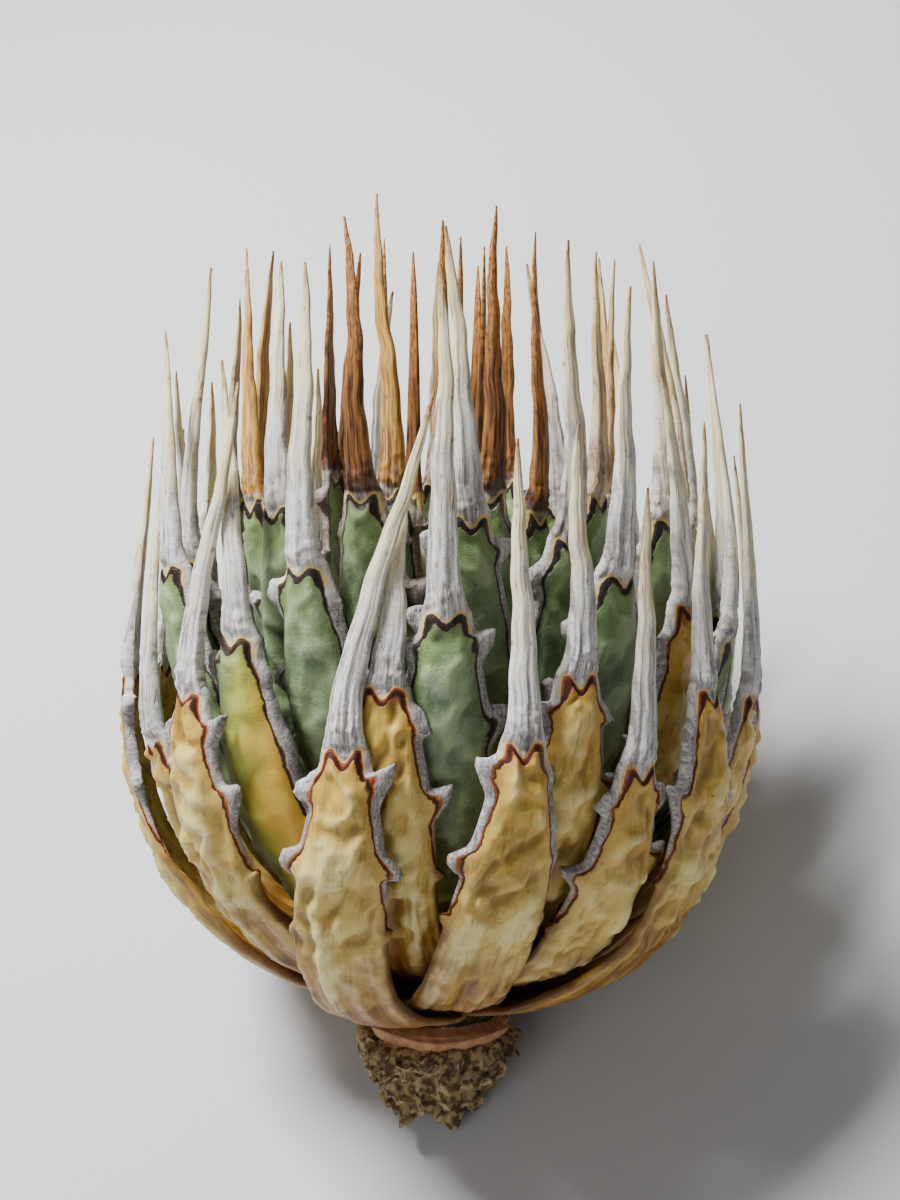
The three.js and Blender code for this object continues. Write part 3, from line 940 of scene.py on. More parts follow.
# %% Horn
def mark_horn(tree, colour, across, below, seed):
    """Cracks that run along the spine, blotches left where the horn meets the blade, and specks."""
    crack = noise(tree, triple(tree, across, below * 0.035, seed + 2.0), 1.7, 2)
    crack = along_lines(crack, 0.5, 30)
    crack = crack * noise(tree, triple(tree, across, below, seed + 5.0), 0.16, 1).ramp(0.5, 0.62)
    colour = mix(tree, crack * 0.55, colour, tint(84, 66, 60))
    blotch = noise(tree, triple(tree, across, below * 0.45, seed + 14.0), 0.62, 2).ramp(0.5, 0.64)
    near_blade = below.ramp(-9.0, -0.5) * below.ramp(0.5, 4.0, 1.0, 0.0)
    colour = mix(tree, blotch * near_blade * 0.6, colour, tint(104, 92, 92))
    speck = 1 - cells(tree, triple(tree, across, below * 0.6, seed), 0.55).ramp(0.05, 0.17)
    return mix(tree, speck * 0.55, colour, tint(86, 58, 50)), crack


def make_horn_group():
    """Colour, roughness and height of horn, at any age."""
    tree, given, leave = shade_group("horn_colour", {
        "Across": 0.0, "Below": 0.0, "Tine": 0.0, "Seed": 0.0, "Honey": 0.0, "Rust": 0.0,
    }, {"Color": "NodeSocketColor", "Roughness": "NodeSocketFloat", "Height": "NodeSocketFloat"})
    across, below, tine = (given[label] for label in ("Across", "Below", "Tine"))
    seed = given["Seed"] * 11.7
    streak = noise(tree, triple(tree, across, below * 0.06, seed), 2.2, 3, 0.6)
    fine = noise(tree, triple(tree, across, below * 0.22, seed + 4.0), 5.0, 2, 0.6)
    cloud = noise(tree, triple(tree, across, below, seed + 9.0), 0.28, 3, 0.6)
    grain = noise(tree, triple(tree, across, below, seed), 3.4, 3, 0.7)
    # The finishes that horn goes through, from bleached to brown
    grey = mix(tree, streak.ramp(0.34, 0.56), tint(156, 151, 148), tint(222, 219, 215))
    grey = mix(tree, grain.ramp(0.52, 0.66) * 0.5, grey, tint(98, 90, 90))
    grey = mix(tree, fine.ramp(0.56, 0.7) * 0.5, grey, tint(236, 234, 230))
    margin = (below + (cloud - 0.5) * 8).ramp(0.0, 7.0)
    grey = mix(tree, margin * grain.ramp(0.4, 0.6, 0.35, 1.0), grey, tint(134, 127, 126))
    cream = mix(tree, streak.ramp(0.34, 0.66), tint(216, 198, 150), tint(242, 230, 190))
    honey = mix(tree, streak.ramp(0.34, 0.66), tint(146, 92, 34), tint(220, 174, 88))
    brown = mix(tree, streak.ramp(0.38, 0.64), tint(60, 30, 14), tint(150, 98, 44))
    tip = mix(tree, fine.ramp(0.4, 0.6), tint(132, 88, 48), tint(198, 156, 96))
    ember = mix(tree, fine.ramp(0.4, 0.6), tint(122, 70, 28), tint(194, 134, 64))
    # How an old, a young and an inner spine change from foot to tip
    old = mix(tree, (tine + (cloud - 0.5) * 0.9).ramp(0.2, 0.75), grey, cream)
    old = mix(tree, (tine + (cloud - 0.5) * 0.25).ramp(0.82, 1.0), old, tip)
    young = mix(tree, (tine + (cloud - 0.5) * 0.4).ramp(0.6, 1.1), honey, tint(236, 212, 150))
    young = mix(tree, (tine + (cloud - 0.5) * 0.25).ramp(0.85, 1.0), young, tip)
    inner = mix(tree, (tine + (cloud - 0.5) * 0.5).ramp(0.3, 0.9), brown, ember)
    inner = mix(tree, (tine + (cloud - 0.5) * 0.3).ramp(0.12, 0.0) * 0.7, inner, tint(54, 20, 14))
    colour = mix(tree, given["Honey"] * tine.ramp(0.0, 0.04, 0.35, 1.0), old, young)
    colour = mix(tree, given["Rust"] * tine.ramp(0.0, 0.02, 0.5, 1.0), colour, inner)
    colour, crack = mark_horn(tree, colour, across, below, seed)
    height = streak * 0.5 + fine * 0.28 + grain * 0.5 * tine.ramp(0.0, 0.1, 1.0, 0.25) - crack * 0.7
    give(leave, Color=colour, Roughness=0.78 - given["Rust"] * 0.3, Height=height)
    return tree


horn_colour = make_horn_group()
print("horn:", len(horn_colour.nodes), "nodes")


# %% [markdown]
# Where horn and blade meet there is a thin dark line, which widens into a small letter M under the
# spine. It follows the attribute `rim`, the distance from that border, so it stays sharp however
# coarse the mesh is.

# %% The border line
def make_border_group():
    """Blade and horn colours, parted by the border line."""
    tree, given, leave = shade_group("border_line", {
        "Rim": 0.0, "Below": 0.0, "Across": 0.0, "Seed": 0.0, "Blade": tint(200, 170, 100),
        "Horn": tint(190, 185, 182), "Line": tint(40, 20, 12), "Glow": tint(150, 84, 34), "Width": 1.0,
    }, {"Color": "NodeSocketColor", "Horn mask": "NodeSocketFloat", "Line mask": "NodeSocketFloat"})
    rim, below = given["Rim"], given["Below"]
    place = triple(tree, given["Across"], below, given["Seed"] * 5.1)
    wander = (noise(tree, place, 1.3, 2) - 0.5) * 0.35
    top = below.ramp(1.5, 4.6, 1.0, 0.0)
    width = (top * 0.62 + 0.36) * given["Width"] * noise(tree, place, 0.35, 1).ramp(0.3, 0.6, 0.7, 1.2)
    into = rim + wander + width
    line = into.ramp(0.0, 0.16) * (rim + wander * 0.5).ramp(-0.02, 0.16, 1.0, 0.0)
    horn = (rim + wander * 0.5).ramp(-0.02, 0.16)
    stain = into.ramp(-0.8, 0.05) * 0.5
    colour = mix(tree, stain * top.most(0.35), given["Blade"], given["Glow"])
    pale_rim = (rim + wander).ramp(0.0, 0.2) * rim.ramp(0.3, 0.75, 1.0, 0.0)
    pale_rim = pale_rim * below.ramp(2.2, 3.6, 1.0, 0.0)
    horn_side = mix(tree, pale_rim * 0.8, given["Horn"], tint(222, 186, 106))
    colour = mix(tree, horn, colour, horn_side)
    # The line is darkest in its middle and shines through at its edges
    shine = (into / width - 0.5).size().ramp(0.2, 0.5)
    colour = mix(tree, line, colour, mix(tree, shine * 0.75, given["Line"], given["Glow"]))
    give(leave, Color=colour, Horn_mask=horn, Line_mask=line)
    return tree


border_line = make_border_group()
print("border line:", len(border_line.nodes), "nodes")


# %% [markdown]
# Straw is creamy yellow, and browner towards the foot of the leaf. It has a painted highlight on its swells
# and painted shade, partly brown stain, in its creases, with lengthwise fibres and a few dark specks.

# %% Dry blades
ON_LEAF = ("across", "below", "tine", "rim", "seed", "honey", "rust", "relief")


def straw_colour(tree, at):
    """The colour of a dry blade, and the height of its fibres."""
    seed = at["seed"] * 3.7
    spot = triple(tree, at["across"], at["below"], seed)
    cloud = noise(tree, spot, 0.09, 3, 0.6)
    patch = noise(tree, spot, 0.3, 3, 0.65)
    fibre = noise(tree, triple(tree, at["across"], at["below"] * 0.1, seed), 1.6, 3, 0.6)
    age = at["below"] + (cloud - 0.5) * 46 + (fibre - 0.5) * 14
    colour = mix(tree, age.ramp(4.0, 26.0), tint(206, 168, 74), tint(214, 188, 104))
    colour = mix(tree, age.ramp(26.0, 50.0), colour, tint(134, 90, 26))
    colour = mix(tree, patch.ramp(0.46, 0.64) * 0.6, colour, tint(176, 130, 44))
    # Painted highlight: paler where the relief swells
    colour = mix(tree, at["relief"].ramp(0.25, 0.95) * 0.6, colour, tint(240, 224, 152))
    # Painted shade in the creases, partly the brown stain they hold
    colour = mix(tree, at["relief"].ramp(-0.1, -0.8) * 0.6, colour, tint(128, 86, 28))
    stain = noise(tree, spot, 0.2, 4, 0.7).ramp(0.56, 0.7) * age.ramp(24.0, 60.0, 0.08, 0.8)
    colour = mix(tree, stain, colour, tint(92, 60, 22))
    brown_edge = at["rim"].ramp(-1.6, -0.9) * at["below"].ramp(20.0, 34.0)
    colour = mix(tree, brown_edge * 0.75, colour, tint(78, 48, 22))
    colour = mix(tree, fibre.ramp(0.44, 0.3) * 0.4, colour, tint(124, 84, 32))
    speck = 1 - cells(tree, spot, 0.5).ramp(0.04, 0.13)
    colour = mix(tree, speck * patch.ramp(0.45, 0.6) * 0.7, colour, tint(86, 52, 22))
    streak = noise(tree, triple(tree, at["across"], at["below"] * 0.07, seed + 6.0), 0.75, 3, 0.6)
    colour = mix(tree, streak.ramp(0.5, 0.36) * age.ramp(22.0, 46.0) * 0.65, colour, tint(92, 58, 18))
    # Painted sheen: pale golden lengthwise streaks towards the foot
    colour = mix(tree, streak.ramp(0.54, 0.68) * age.ramp(22.0, 46.0) * 0.5, colour, tint(214, 176, 88))
    return colour, fibre * 0.5 + streak * 0.8


print("a blade's colours follow", *ON_LEAF)

# %% [markdown]
# Green skin is mottled, with a thin pale bloom and fine pores. It has a painted highlight on the ridges
# between the prints and painted shade in them. The leaf that is turning uses the same skin, and lays yellow
# over it.

# %% Green and turning blades
def green_colour(tree, at):
    """The colour of a living blade, and the height of its skin."""
    seed = at["seed"] * 3.7
    spot = triple(tree, at["across"], at["below"], seed)
    mottle = noise(tree, spot, 0.16, 4, 0.62)
    fine = noise(tree, spot, 1.5, 4, 0.75)
    colour = mix(tree, mottle.ramp(0.3, 0.66), tint(84, 104, 68), tint(130, 150, 106))
    near_top = (at["below"] + (mottle - 0.5) * 16).ramp(0.5, 14.0, 0.6, 0.0)
    colour = mix(tree, near_top, colour, tint(130, 156, 86))
    colour = mix(tree, at["below"].ramp(30.0, 60.0) * 0.75, colour, tint(66, 78, 46))
    # Painted highlight: lighter on the ridges between the prints
    colour = mix(tree, at["relief"].ramp(0.08, 0.5) * 0.55, colour, tint(172, 190, 144))
    # Painted shade: darker in the prints
    colour = mix(tree, at["relief"].ramp(-0.06, -0.5) * 0.5, colour, tint(58, 76, 54))
    bloom = noise(tree, triple(tree, at["across"], at["below"] * 0.4, seed + 3.0), 0.42, 3, 0.7)
    colour = mix(tree, bloom.ramp(0.52, 0.72) * 0.4, colour, tint(160, 176, 158))
    pore = 1 - cells(tree, spot, 2.6).ramp(0.1, 0.34)
    colour = mix(tree, pore * 0.3, colour, tint(170, 184, 160))
    colour = mix(tree, fine.ramp(0.52, 0.68) * 0.25, colour, tint(60, 78, 56))
    return colour, fine * 0.55 + mottle * 0.35 - pore * 0.25


def turning_colour(tree, at):
    """Green that goes over into yellow from the top and one side."""
    still_green, height = green_colour(tree, at)
    spot = triple(tree, at["across"], at["below"], 2.0)
    drift = (noise(tree, spot, 0.11, 3, 0.6) - 0.5) * 2.2
    ripe = at["across"] * 0.16 + at["below"].ramp(3.0, 22.0)
    ripe = ripe + at["below"].ramp(34.0, 60.0, 0.0, -0.9) + drift
    colour = mix(tree, ripe.ramp(-0.5, 0.7), still_green, tint(176, 176, 74))
    colour = mix(tree, ripe.ramp(0.5, 1.7), colour, tint(232, 186, 66))
    return colour, height


print("finishes for living blades:", green_colour.__name__, turning_colour.__name__)

# %% [markdown]
# One material for each kind of leaf puts blade, border line and horn together. Horn is duller than
# the blade and rougher, and the border line lies in a shallow groove.

# %% Materials of the leaves
def leaf_material(name, blade, line, glow, width, roughness, bump):
    """A leaf's material: blade, border line and horn, told apart by the mesh's attributes."""
    material, tree, shader = new_material(name)
    at = {key: value_of(tree, key) for key in ON_LEAF}
    blade_colour, blade_height = blade(tree, at)
    horn = use(tree, horn_colour, Across=at["across"], Below=at["below"], Tine=at["tine"],
               Seed=at["seed"], Honey=at["honey"], Rust=at["rust"])
    border = use(tree, border_line, Rim=at["rim"], Below=at["below"], Across=at["across"], Seed=at["seed"],
                 Blade=blade_colour, Horn=horn["Color"], Line=line, Glow=glow, Width=width)
    is_horn = border["Horn mask"]
    tree.links.new(border["Color"].socket, shader.inputs["Base Color"])
    rough = horn["Roughness"] * is_horn + (1 - is_horn) * roughness
    tree.links.new(rough.socket, shader.inputs["Roughness"])
    height = horn["Height"] * is_horn * 0.9 + blade_height * (1 - is_horn) * bump
    raise_surface(tree, shader, height - border["Line mask"] * 0.6, 0.55, 0.00035)
    shader.inputs["IOR"].default_value = 1.42
    return material


straw = leaf_material("straw", straw_colour, tint(58, 22, 10), tint(178, 88, 26), 0.9, 0.46, 0.8)
green = leaf_material("grey_green", green_colour, tint(28, 18, 15), tint(72, 58, 34), 0.85, 0.48, 1.0)
turning = leaf_material("turning_yellow", turning_colour, tint(34, 18, 12), tint(110, 70, 30), 1, 0.48, 0.7)
print("materials", [m.name for m in (straw, green, turning)])

# %% [markdown]
# Growing the leaves. What a spine looks like depends on its age: the outer ones are bleached, those
# near the heart are honey-coloured or still brown, so each leaf carries its age as two numbers.

# %% Grow the leaves
HONEY = {52: 1.0, 42: 0.9, 51: 0.6, 56: 0.8, 57: 1.0, 43: 0.5, 48: 0.7, 45: 0.6, 38: 0.25, 29: 0.5, 47: 0.5}
RUST = {49: 1.0, 50: 1.0, 55: 1.0, 53: 1.0, 54: 1.0, 59: 1.0}
FINISH = {"dry_leaf": straw, "green_leaf": green, "turning_leaf": turning}


def grow_leaf(leaf):
    """The finished piece of one leaf."""
    n = leaf["n"]
    dry = leaf["kind"] == "dry_leaf"
    constants = {
        "seed": float(n), "honey": HONEY.get(n, 0.15 if n > 44 else 0.0), "rust": RUST.get(n, 0.0),
        "notch": 1.7 + 0.5 * scatter(n, 60), "notch_at": 0.35 * scatter(n, 61),
    }
    piece = chain(leaf["node"] + "_fine", leaf_path(leaf), constants)
    grow(piece, leaf_tree, Section_points=60 if dry else 40, Crumple=1.0 if dry else 0.0,
         Pleats=1.0 if dry else 0.06, Swell=0.0 if dry else 0.6, Edge_curl=0.6 if dry else 0.05,
         Seed=float(n), Rotation=lay_down, Shift=tuple(SHIFT), Material=FINISH[leaf["kind"]])
    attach(piece, "root")
    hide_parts(leaf["node"])
    return piece


def stands_out(piece, node):
    """How far a piece stands out of its solid's box, in mm."""
    low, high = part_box(node)
    points = points_of(piece.data)
    return max((np.array(low) - points.min(0)).max(), (points.max(0) - np.array(high)).max()) / MM


leaves = [grow_leaf(leaf) for leaf in rosette]
print(sum(len(triangles_of(piece.data)) for piece in leaves), "triangles in", len(leaves), "leaves")
furthest = max(stands_out(piece, leaf["node"]) for piece, leaf in zip(leaves, rosette))
print("furthest that a leaf stands out of its solid's box:", round(furthest, 2), "mm")


# %% [markdown]
# The stub below the leaves and the stem that it runs on into, hidden between them. Its top carries
# the torn bases of lost leaves, one over the other like tiles, pinkish tan. Below that it is root
# bark, ridged and lumpy, with cut root hairs and crumbs of soil strewn by rule over its surface.

# %% Root hairs and crumbs
def push(tree, geometry, direction, distance):
    """Moves every point along a direction."""
    scale = tree.nodes.new("ShaderNodeVectorMath")
    scale.operation = "SCALE"
    feed(tree, scale.inputs[0], direction)
    feed(tree, scale.inputs["Scale"], distance)
    return step(tree, "GeometryNodeSetPosition", geometry, Offset=Flow(tree, scale.outputs[0]))


def root_hair(tree):
    """One cut root hair, 1 mm long before it is scaled, bent and tapering."""
    line = tree.nodes.new("GeometryNodeCurveQuadraticBezier")
    line.inputs["Resolution"].default_value = 7
    line.inputs["Start"].default_value = (0.0, 0.0, -0.12)
    line.inputs["Middle"].default_value = (0.1, 0.0, 0.6)
    line.inputs["End"].default_value = (0.55, 0.15, 0.9)
    share = Flow(tree, tree.nodes.new("GeometryNodeSplineParameter").outputs["Factor"])
    thin = step(tree, "GeometryNodeSetCurveRadius", Flow(tree, line.outputs[0]),
                Radius=share.ramp(0.0, 1.0, 0.042, 0.014))
    rim = tree.nodes.new("GeometryNodeCurvePrimitiveCircle")
    rim.inputs["Resolution"].default_value = 6
    tube = tree.nodes.new("GeometryNodeCurveToMesh")
    tree.links.new(thin.socket, tube.inputs["Curve"])
    tree.links.new(rim.outputs[0], tube.inputs["Profile Curve"])
    tube.inputs["Fill Caps"].default_value = True
    return Flow(tree, tube.outputs[0])


def crumb(tree):
    """One crumb of soil, an uneven lump of about 1 mm."""
    ball = tree.nodes.new("GeometryNodeMeshIcoSphere")
    ball.inputs["Radius"].default_value = 0.5
    ball.inputs["Subdivisions"].default_value = 2
    spot = Flow(tree, tree.nodes.new("GeometryNodeInputPosition").outputs[0])
    lump = (noise(tree, spot, 2.6, 1) - 0.5) * 0.8
    normal = Flow(tree, tree.nodes.new("GeometryNodeInputNormal").outputs[0])
    return push(tree, Flow(tree, ball.outputs["Mesh"]), normal, lump)


def random_between(tree, low, high, seed):
    """Three random numbers for each point, each between its own two limits."""
    node = tree.nodes.new("FunctionNodeRandomValue")
    node.data_type = "FLOAT_VECTOR"
    node.inputs[0].default_value = low
    node.inputs[1].default_value = high
    node.inputs["Seed"].default_value = seed
    return Flow(tree, node.outputs[0])


def strew(tree, surface, per_mm2, seed, shape, size, tilt):
    """Copies of shape over a surface, standing on it with a random tilt and size."""
    spread = tree.nodes.new("GeometryNodeDistributePointsOnFaces")
    tree.links.new(surface.socket, spread.inputs["Mesh"])
    feed(tree, spread.inputs["Density"], per_mm2)
    spread.inputs["Seed"].default_value = seed
    turned = tree.nodes.new("FunctionNodeRotateRotation")
    turned.rotation_space = "LOCAL"
    tree.links.new(spread.outputs["Rotation"], turned.inputs["Rotation"])
    leaning = random_between(tree, (-tilt, -tilt, -3.1), (tilt, tilt, 3.1), seed + 1)
    tree.links.new(leaning.socket, turned.inputs["Rotate By"])
    placed = tree.nodes.new("GeometryNodeInstanceOnPoints")
    tree.links.new(spread.outputs["Points"], placed.inputs["Points"])
    tree.links.new(shape.socket, placed.inputs["Instance"])
    tree.links.new(turned.outputs["Rotation"], placed.inputs["Rotation"])
    tree.links.new(random_between(tree, *size, seed + 2).socket, placed.inputs["Scale"])
    return step(tree, "GeometryNodeRealizeInstances", Flow(tree, placed.outputs[0]))


HAIR_SIZE = ((1.6, 1.6, 1.2), (2.6, 2.6, 3.6))
CRUMB_SIZE = ((0.25, 0.25, 0.2), (0.8, 0.8, 0.6))
print("root hairs are", HAIR_SIZE[0][2], "to", HAIR_SIZE[1][2], "mm long")


# %% [markdown]
# The stem's own tree sweeps a ring along the stem's axis. Its radius there is a named value at each
# level, and the relief of the bark and of the tiles is added to it by formula.

# %% The stem tree
STUB_TOP = 12.2
STUB_END = 4.2
STUB_SIDE = -2.4
STUB_ROWS = (
    (-3.4, 0.35 * STUB_END), (-3, 0.75 * STUB_END), (-1.6, STUB_END), (1.5, 1.25 * STUB_END),
    (4.5, 0.62 * STUB_TOP), (7.5, 0.8 * STUB_TOP), (10.2, 0.95 * STUB_TOP), (12.2, 0.97 * STUB_TOP),
    (13.1, 0.76 * STUB_TOP), (14, 9), (24, 7.8), (36, 5.9), (47, 3),
)
TILE_HEIGHT = 2.7


def stem_surface(tree, given, angle, level, girth):
    """How far out a point of the stem is, and where the collar and its tiles are."""
    east, north = angle.op("COSINE"), angle.op("SINE")
    bark = level.ramp(7.0, 10.0, 1.0, 0.0)
    collar = level.ramp(6.5, 9.0) * level.ramp(12.6, 13.6, 1.0, 0.0)
    lumps = (noise(tree, triple(tree, east * girth, north * girth, level), 0.32, 3, 0.6) - 0.5) * 3.4
    ridges = (noise(tree, triple(tree, east * 5, north * 5, level * 0.12), 1.0, 2, 0.6) - 0.5) * 3.0
    pits = (noise(tree, triple(tree, east * girth, north * girth, level * 0.5), 0.8, 2, 0.6) - 0.5) * 1.6
    wave = angle.op("SINE") * 1.5 + (angle * 3).op("SINE") * 0.6
    tile = ((level + wave) / TILE_HEIGHT).op("FRACT")
    out = girth + given["Roughness"] * bark * (lumps + ridges + pits - 0.5)
    out = out + given["Tiles"] * collar * (tile - 0.6)
    return out, {"tile": tile, "collar": collar}


def make_stem_tree():
    """The tree that turns the stem's path into stem, root hairs and soil."""
    tree, given, leave = new_tree("agave_stem", {
        "Section points": ("NodeSocketInt", 120),
        "Roughness": ("NodeSocketFloat", 1.0),
        "Tiles": ("NodeSocketFloat", 0.9),
        "Hairs": ("NodeSocketFloat", 0.7),
        "Crumbs": ("NodeSocketFloat", 0.55),
        "Rotation": ("NodeSocketRotation", None),
        "Shift": ("NodeSocketVector", None),
        "Bark": ("NodeSocketMaterial", None),
        "Hair": ("NodeSocketMaterial", None),
        "Soil": ("NodeSocketMaterial", None),
    })
    body = sweep_ring(tree, given)
    angle = named(tree, "around") * (2 * math.pi)
    level = named(tree, "level")
    out, marks = stem_surface(tree, given, angle, level, named(tree, "girth"))
    for name, value in marks.items():
        body = keep(tree, body, name, value)
    place = triple(tree, named(tree, "centre") + angle.op("COSINE") * out, angle.op("SINE") * out, level)
    body = step(tree, "GeometryNodeSetPosition", body, Position=place)
    # Hairs and crumbs only where there is bark
    rooty = level.ramp(-2.5, 0.0) * level.ramp(7.5, 9.5, 1.0, 0.0)
    hairs = strew(tree, body, rooty * given["Hairs"], 3, root_hair(tree), HAIR_SIZE, 1.1)
    crumbs = strew(tree, body, rooty * given["Crumbs"], 8, crumb(tree), CRUMB_SIZE, 0.5)
    parts = [step(tree, "GeometryNodeSetMaterial", part, Material=given[label])
             for part, label in ((body, "Bark"), (hairs, "Hair"), (crumbs, "Soil"))]
    joined = tree.nodes.new("GeometryNodeJoinGeometry")
    for part in reversed(parts):
        tree.links.new(part.socket, joined.inputs[0])
    body = step(tree, "GeometryNodeTransform", Flow(tree, joined.outputs[0]), Scale=(MM, MM, MM),
                Rotation=given["Rotation"], Translation=given["Shift"])
    body = press_into_box(tree, body)
    body = step(tree, "GeometryNodeSetShadeSmooth", body)
    body = step(tree, "GeometryNodeRealizeInstances", body)
    tree.links.new(body.socket, leave.inputs[0])
    return tree


stem_tree = make_stem_tree()
print("stem tree:", len(stem_tree.nodes), "nodes")


# %% [markdown]
# Bark is grey-brown with paler ridges and soil in its pits. The collar of old leaf bases is smooth.

# %% Stem materials
def millimetres(tree):
    """The place on the object, in mm."""
    node = tree.nodes.new("ShaderNodeTexCoord")
    scale = tree.nodes.new("ShaderNodeVectorMath")
    scale.operation = "SCALE"
    tree.links.new(node.outputs["Object"], scale.inputs[0])
    scale.inputs["Scale"].default_value = 1 / MM
    return Flow(tree, scale.outputs[0])


def stem_material():
    """Root bark below, and above it the smooth collar of old leaf bases."""
    material, tree, shader = new_material("root_bark")
    spot = millimetres(tree)
    collar, tile = (value_of(tree, name) for name in ("collar", "tile"))
    cloud = noise(tree, spot, 0.5, 4, 0.65)
    grain = noise(tree, spot, 2.2, 4, 0.7)
    bark = mix(tree, cloud.ramp(0.38, 0.64), tint(40, 28, 18), tint(88, 66, 42))
    bark = mix(tree, grain.ramp(0.54, 0.68) * 0.45, bark, tint(160, 142, 106))
    bark = mix(tree, grain.ramp(0.46, 0.34) * 0.7, bark, tint(26, 18, 13))
    sheath = mix(tree, cloud.ramp(0.35, 0.65), tint(178, 122, 84), tint(208, 160, 116))
    sheath = mix(tree, tile.ramp(0.72, 0.98) * 0.7, sheath, tint(104, 62, 38))
    sheath = mix(tree, grain.ramp(0.5, 0.62) * 0.25, sheath, tint(150, 110, 70))
    edge = (collar + (cloud - 0.5) * 1.6).ramp(0.3, 0.7)
    feed(tree, shader.inputs["Base Color"], mix(tree, edge, bark, sheath))
    shader.inputs["Roughness"].default_value = 0.85
    raise_surface(tree, shader, grain * (1 - edge * 0.7) + cloud * 0.5, 0.8, 0.0005)
    return material


def plain_earthy(name, dark, light, scale):
    """A dull material that wanders between two colours."""
    material, tree, shader = new_material(name)
    cloud = noise(tree, millimetres(tree), scale, 3, 0.6)
    feed(tree, shader.inputs["Base Color"], mix(tree, cloud.ramp(0.38, 0.62), dark, light))
    shader.inputs["Roughness"].default_value = 0.92
    return material


bark = stem_material()
hair = plain_earthy("root_hair", tint(84, 60, 36), tint(176, 152, 108), 0.6)
soil = plain_earthy("soil", tint(30, 21, 14), tint(82, 62, 42), 0.8)
print("stem materials", [m.name for m in (bark, hair, soil)])

# %% [markdown]
# The stem is grown like a leaf, on a path that is its axis: rows close together on the stub, which
# is seen, and far apart above it.

# %% Grow the stem
level = np.concatenate((np.linspace(-3.4, 13.1, 120), np.linspace(13.6, 47, 16)))
stem_path = {
    "level": level,
    "girth": along(level, STUB_ROWS),
    "centre": STUB_SIDE * np.clip((13 - level) / 13, 0, 1),
}
stem = chain("stem_fine", stem_path, {})
grow(stem, stem_tree, Section_points=150, Rotation=lay_down, Shift=tuple(SHIFT),
     Bark=bark, Hair=hair, Soil=soil)
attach(stem, "root")
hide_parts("stem")
print("stem:", len(triangles_of(stem.data)), "triangles")

# %% [markdown]
# The bud: eight young leaves still wrapped round one another, with brown spines. They are grown
# by the same tree as the open leaves, on paths of their own, and joined round a plain core.

# %% The young leaves
BUD_CORE = ((50, 1.6), (58, 5.2), (70, 8.6), (82, 10.4), (91, 9.6), (96, 5.5))
YOUNG_LEAVES = 8
YOUNG_HALF = ((0.4, 2.6), (0.45, 3), (0.7, 3.9), (0.85, 3.1), (1, 1.7))
YOUNG_REACH = ((0.4, 0.74), (0.45, 0.78), (0.75, 1), (1, 0.86))
YOUNG_TAPER = ((0, 1), (0.06, 0.88), (0.5, 0.62), (0.85, 0.36), (1, 0.1))
OUTERMOST = 10.2
STEP_IN = 0.75
STEP_DOWN = 0.6
YOUNG_FOOT = 52
YOUNG_BLADE = 51
YOUNG_TIP = 141
YOUNG_SPINE = 1.7
YOUNG_FLESH = 1.3
YOUNG_EDGE = 0.9


def young_path(i):
    """Sizes along young leaf i of the bud, foot first."""
    n = LEAVES + i
    reach = OUTERMOST - STEP_IN * i
    f = np.linspace(0.42, 1, 60)
    u = np.linspace(0.02, 1, 44)
    top = YOUNG_FOOT + YOUNG_BLADE - STEP_DOWN * i
    blade_height = YOUNG_FOOT + YOUNG_BLADE * f - STEP_DOWN * i
    tip_height = YOUNG_TIP + 3.5 * scatter(n, 50)
    spine_height = top + (tip_height - top) * u
    spine_reach = reach * 0.86 + (reach * 0.8 + 1.2 - reach * 0.86) * u
    height = np.concatenate((blade_height, spine_height))
    run = np.concatenate((reach * along(f, YOUNG_REACH), spine_reach))
    fore = np.gradient(np.stack((run, height), axis=1), axis=0)
    fore /= np.hypot(*fore.T)[:, None]
    early = np.clip(u / 0.12, 0, 1)
    thin = YOUNG_SPINE * along(u, YOUNG_TAPER)
    none = 0 * height
    sway = np.concatenate((0 * f, 0.1 * scatter(n, 51) * np.sin(2 * u)))
    return {
        "turn": none + math.radians(FIRST_TURN - GOLDEN * n) + sway, "reach": run,
        "height": height, "lean_out": fore[:, 0], "rise": fore[:, 1],
        "half": np.concatenate((along(f, YOUNG_HALF), thin)),
        "flesh": np.concatenate((0 * f + YOUNG_FLESH, YOUNG_FLESH - (YOUNG_FLESH - thin * 0.7) * early)),
        "hollow": np.concatenate((0 * f - 1.6, -1.6 + (1.6 - thin * 0.4) * early)),
        "edge": np.concatenate((0 * f + YOUNG_EDGE, YOUNG_EDGE - (YOUNG_EDGE - thin * 0.45) * early)),
        "below": np.concatenate(((1 - f) * YOUNG_BLADE, spine_height[0] - spine_height - 0.4)),
        "tine": np.concatenate((0 * f, u)), "band": none + 0.5, "left": none, "right": none,
        "slip_left": none, "slip_right": none, "round": np.concatenate((0 * f, early)),
    }


print("young leaves reach out, mm", [round(OUTERMOST - STEP_IN * i, 1) for i in range(YOUNG_LEAVES)])

# %% [markdown]
# The young leaves touch all round, so nothing shows between them but a green core, which the stem's
# tree makes with its roughness, tiles, hairs and crumbs turned off.

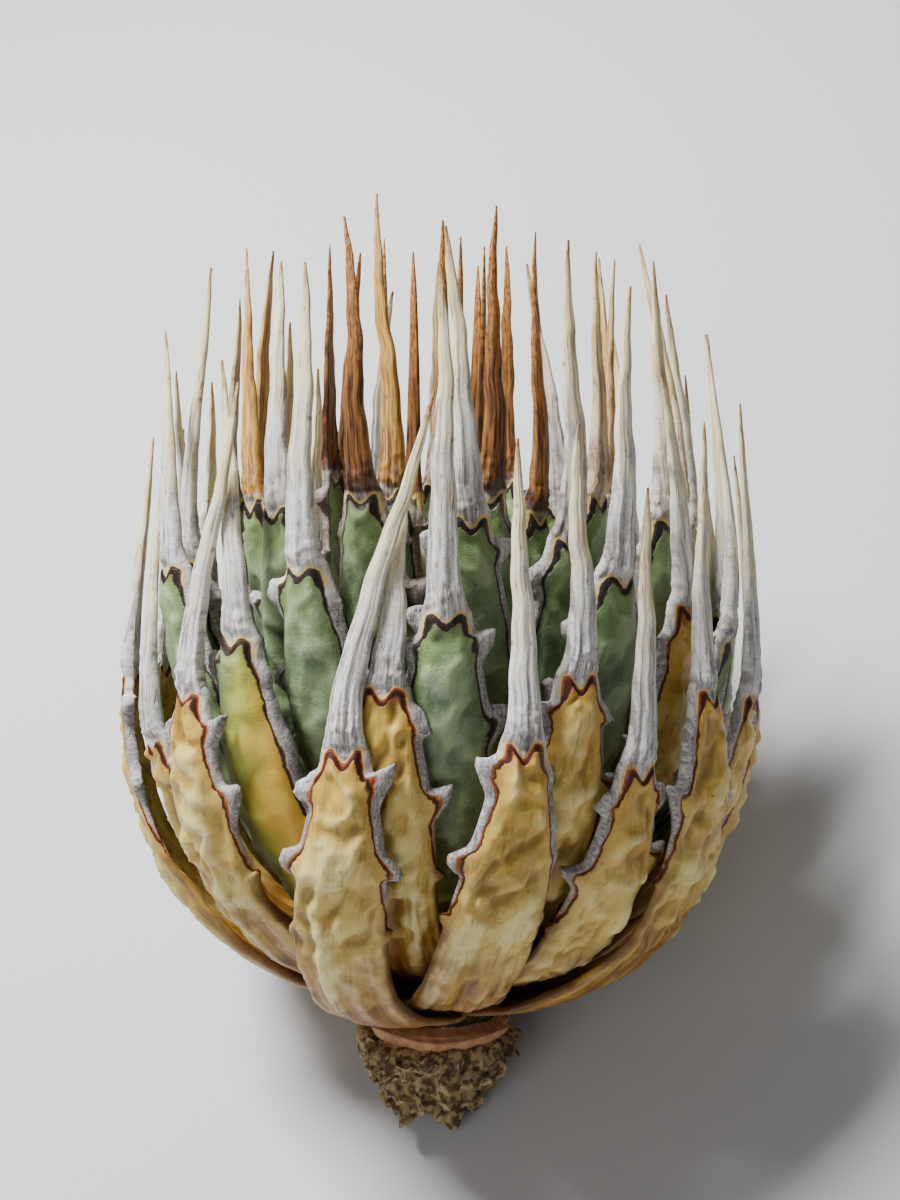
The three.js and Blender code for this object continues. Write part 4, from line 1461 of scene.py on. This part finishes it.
# %% Grow the bud
def grow_bud():
    """The core and its young leaves, joined into one piece."""
    level = np.linspace(BUD_CORE[0][0], BUD_CORE[-1][0], 30)
    core_path = {"level": level, "girth": along(level, BUD_CORE), "centre": 0 * level}
    parts = [chain("bud_fine", core_path, {})]
    grow(parts[0], stem_tree, Section_points=40, Roughness=0.0, Tiles=0.0, Hairs=0.0, Crumbs=0.0,
         Rotation=lay_down, Shift=tuple(SHIFT), Bark=green, Hair=green, Soil=green)
    for i in range(YOUNG_LEAVES):
        n = LEAVES + i
        constants = {"seed": float(n), "honey": 0.0, "rust": 1.0, "notch": 0.8, "notch_at": 0.0}
        young = chain(f"young_{i}", young_path(i), constants)
        grow(young, leaf_tree, Section_points=30, Crumple=0.0, Pleats=0.0, Swell=0.2, Edge_curl=0.0,
             Seed=float(n), Rotation=lay_down, Shift=tuple(SHIFT), Material=green)
        parts.append(young)
    with bpy.context.temp_override(active_object=parts[0], selected_editable_objects=parts):
        bpy.ops.object.join()
    return parts[0]


bud = grow_bud()
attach(bud, "root")
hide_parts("bud")
print("bud:", len(triangles_of(bud.data)), "triangles,", len(bud.data.materials), "materials")

# %% [markdown]
# A plain pale floor under the plant, one broad soft light above and behind it, where the upright
# plant would have it overhead, a weaker one from the viewer's left, and a pale surround.

# %% Light
def soft_light(name, place, aim, size, watts):
    """A square lamp that faces a point."""
    lamp = bpy.data.lights.new(name, "AREA")
    lamp.size = size
    lamp.energy = watts
    piece = bpy.data.objects.new(name, lamp)
    piece.location = place
    piece.rotation_euler = (Vector(aim) - Vector(place)).to_track_quat("-Z", "Y").to_euler()
    bpy.context.scene.collection.objects.link(piece)
    return piece


middle = tuple(to_frame((0, 0, 85)))
lamps = [
    soft_light("overhead", (-0.16, 0.26, 0.62), middle, 0.22, 12.0),
    soft_light("fill", (-0.5, -0.55, 0.45), middle, 0.6, 1.6),
]
world = bpy.data.worlds.new("surround")
bpy.context.scene.world = world
world.use_nodes = True
surround = world.node_tree.nodes["Background"]
surround.inputs["Color"].default_value = (0.9, 0.92, 0.95, 1)
surround.inputs["Strength"].default_value = 0.18
print("lamps", [(lamp.name, lamp.data.energy) for lamp in lamps])

# %% [markdown]
# The floor is a single square, far larger than what the camera sees.

# %% Floor
FLOOR_HALF = 2.0
FLOOR_CORNERS = [(x * FLOOR_HALF, y * FLOOR_HALF, 0.0) for x, y in ((-1, -1), (1, -1), (1, 1), (-1, 1))]
floor_mesh = bpy.data.meshes.new("floor")
floor_mesh.from_pydata(FLOOR_CORNERS, [], [(0, 1, 2, 3)])
floor = bpy.data.objects.new("floor", floor_mesh)
bpy.context.scene.collection.objects.link(floor)
pale, _, paper = new_material("pale_floor")
paper.inputs["Base Color"].default_value = tint(206, 206, 208)
paper.inputs["Roughness"].default_value = 0.8
floor_mesh.materials.append(pale)
print("floor", 2 * FLOOR_HALF, "m across")

# %% [markdown]
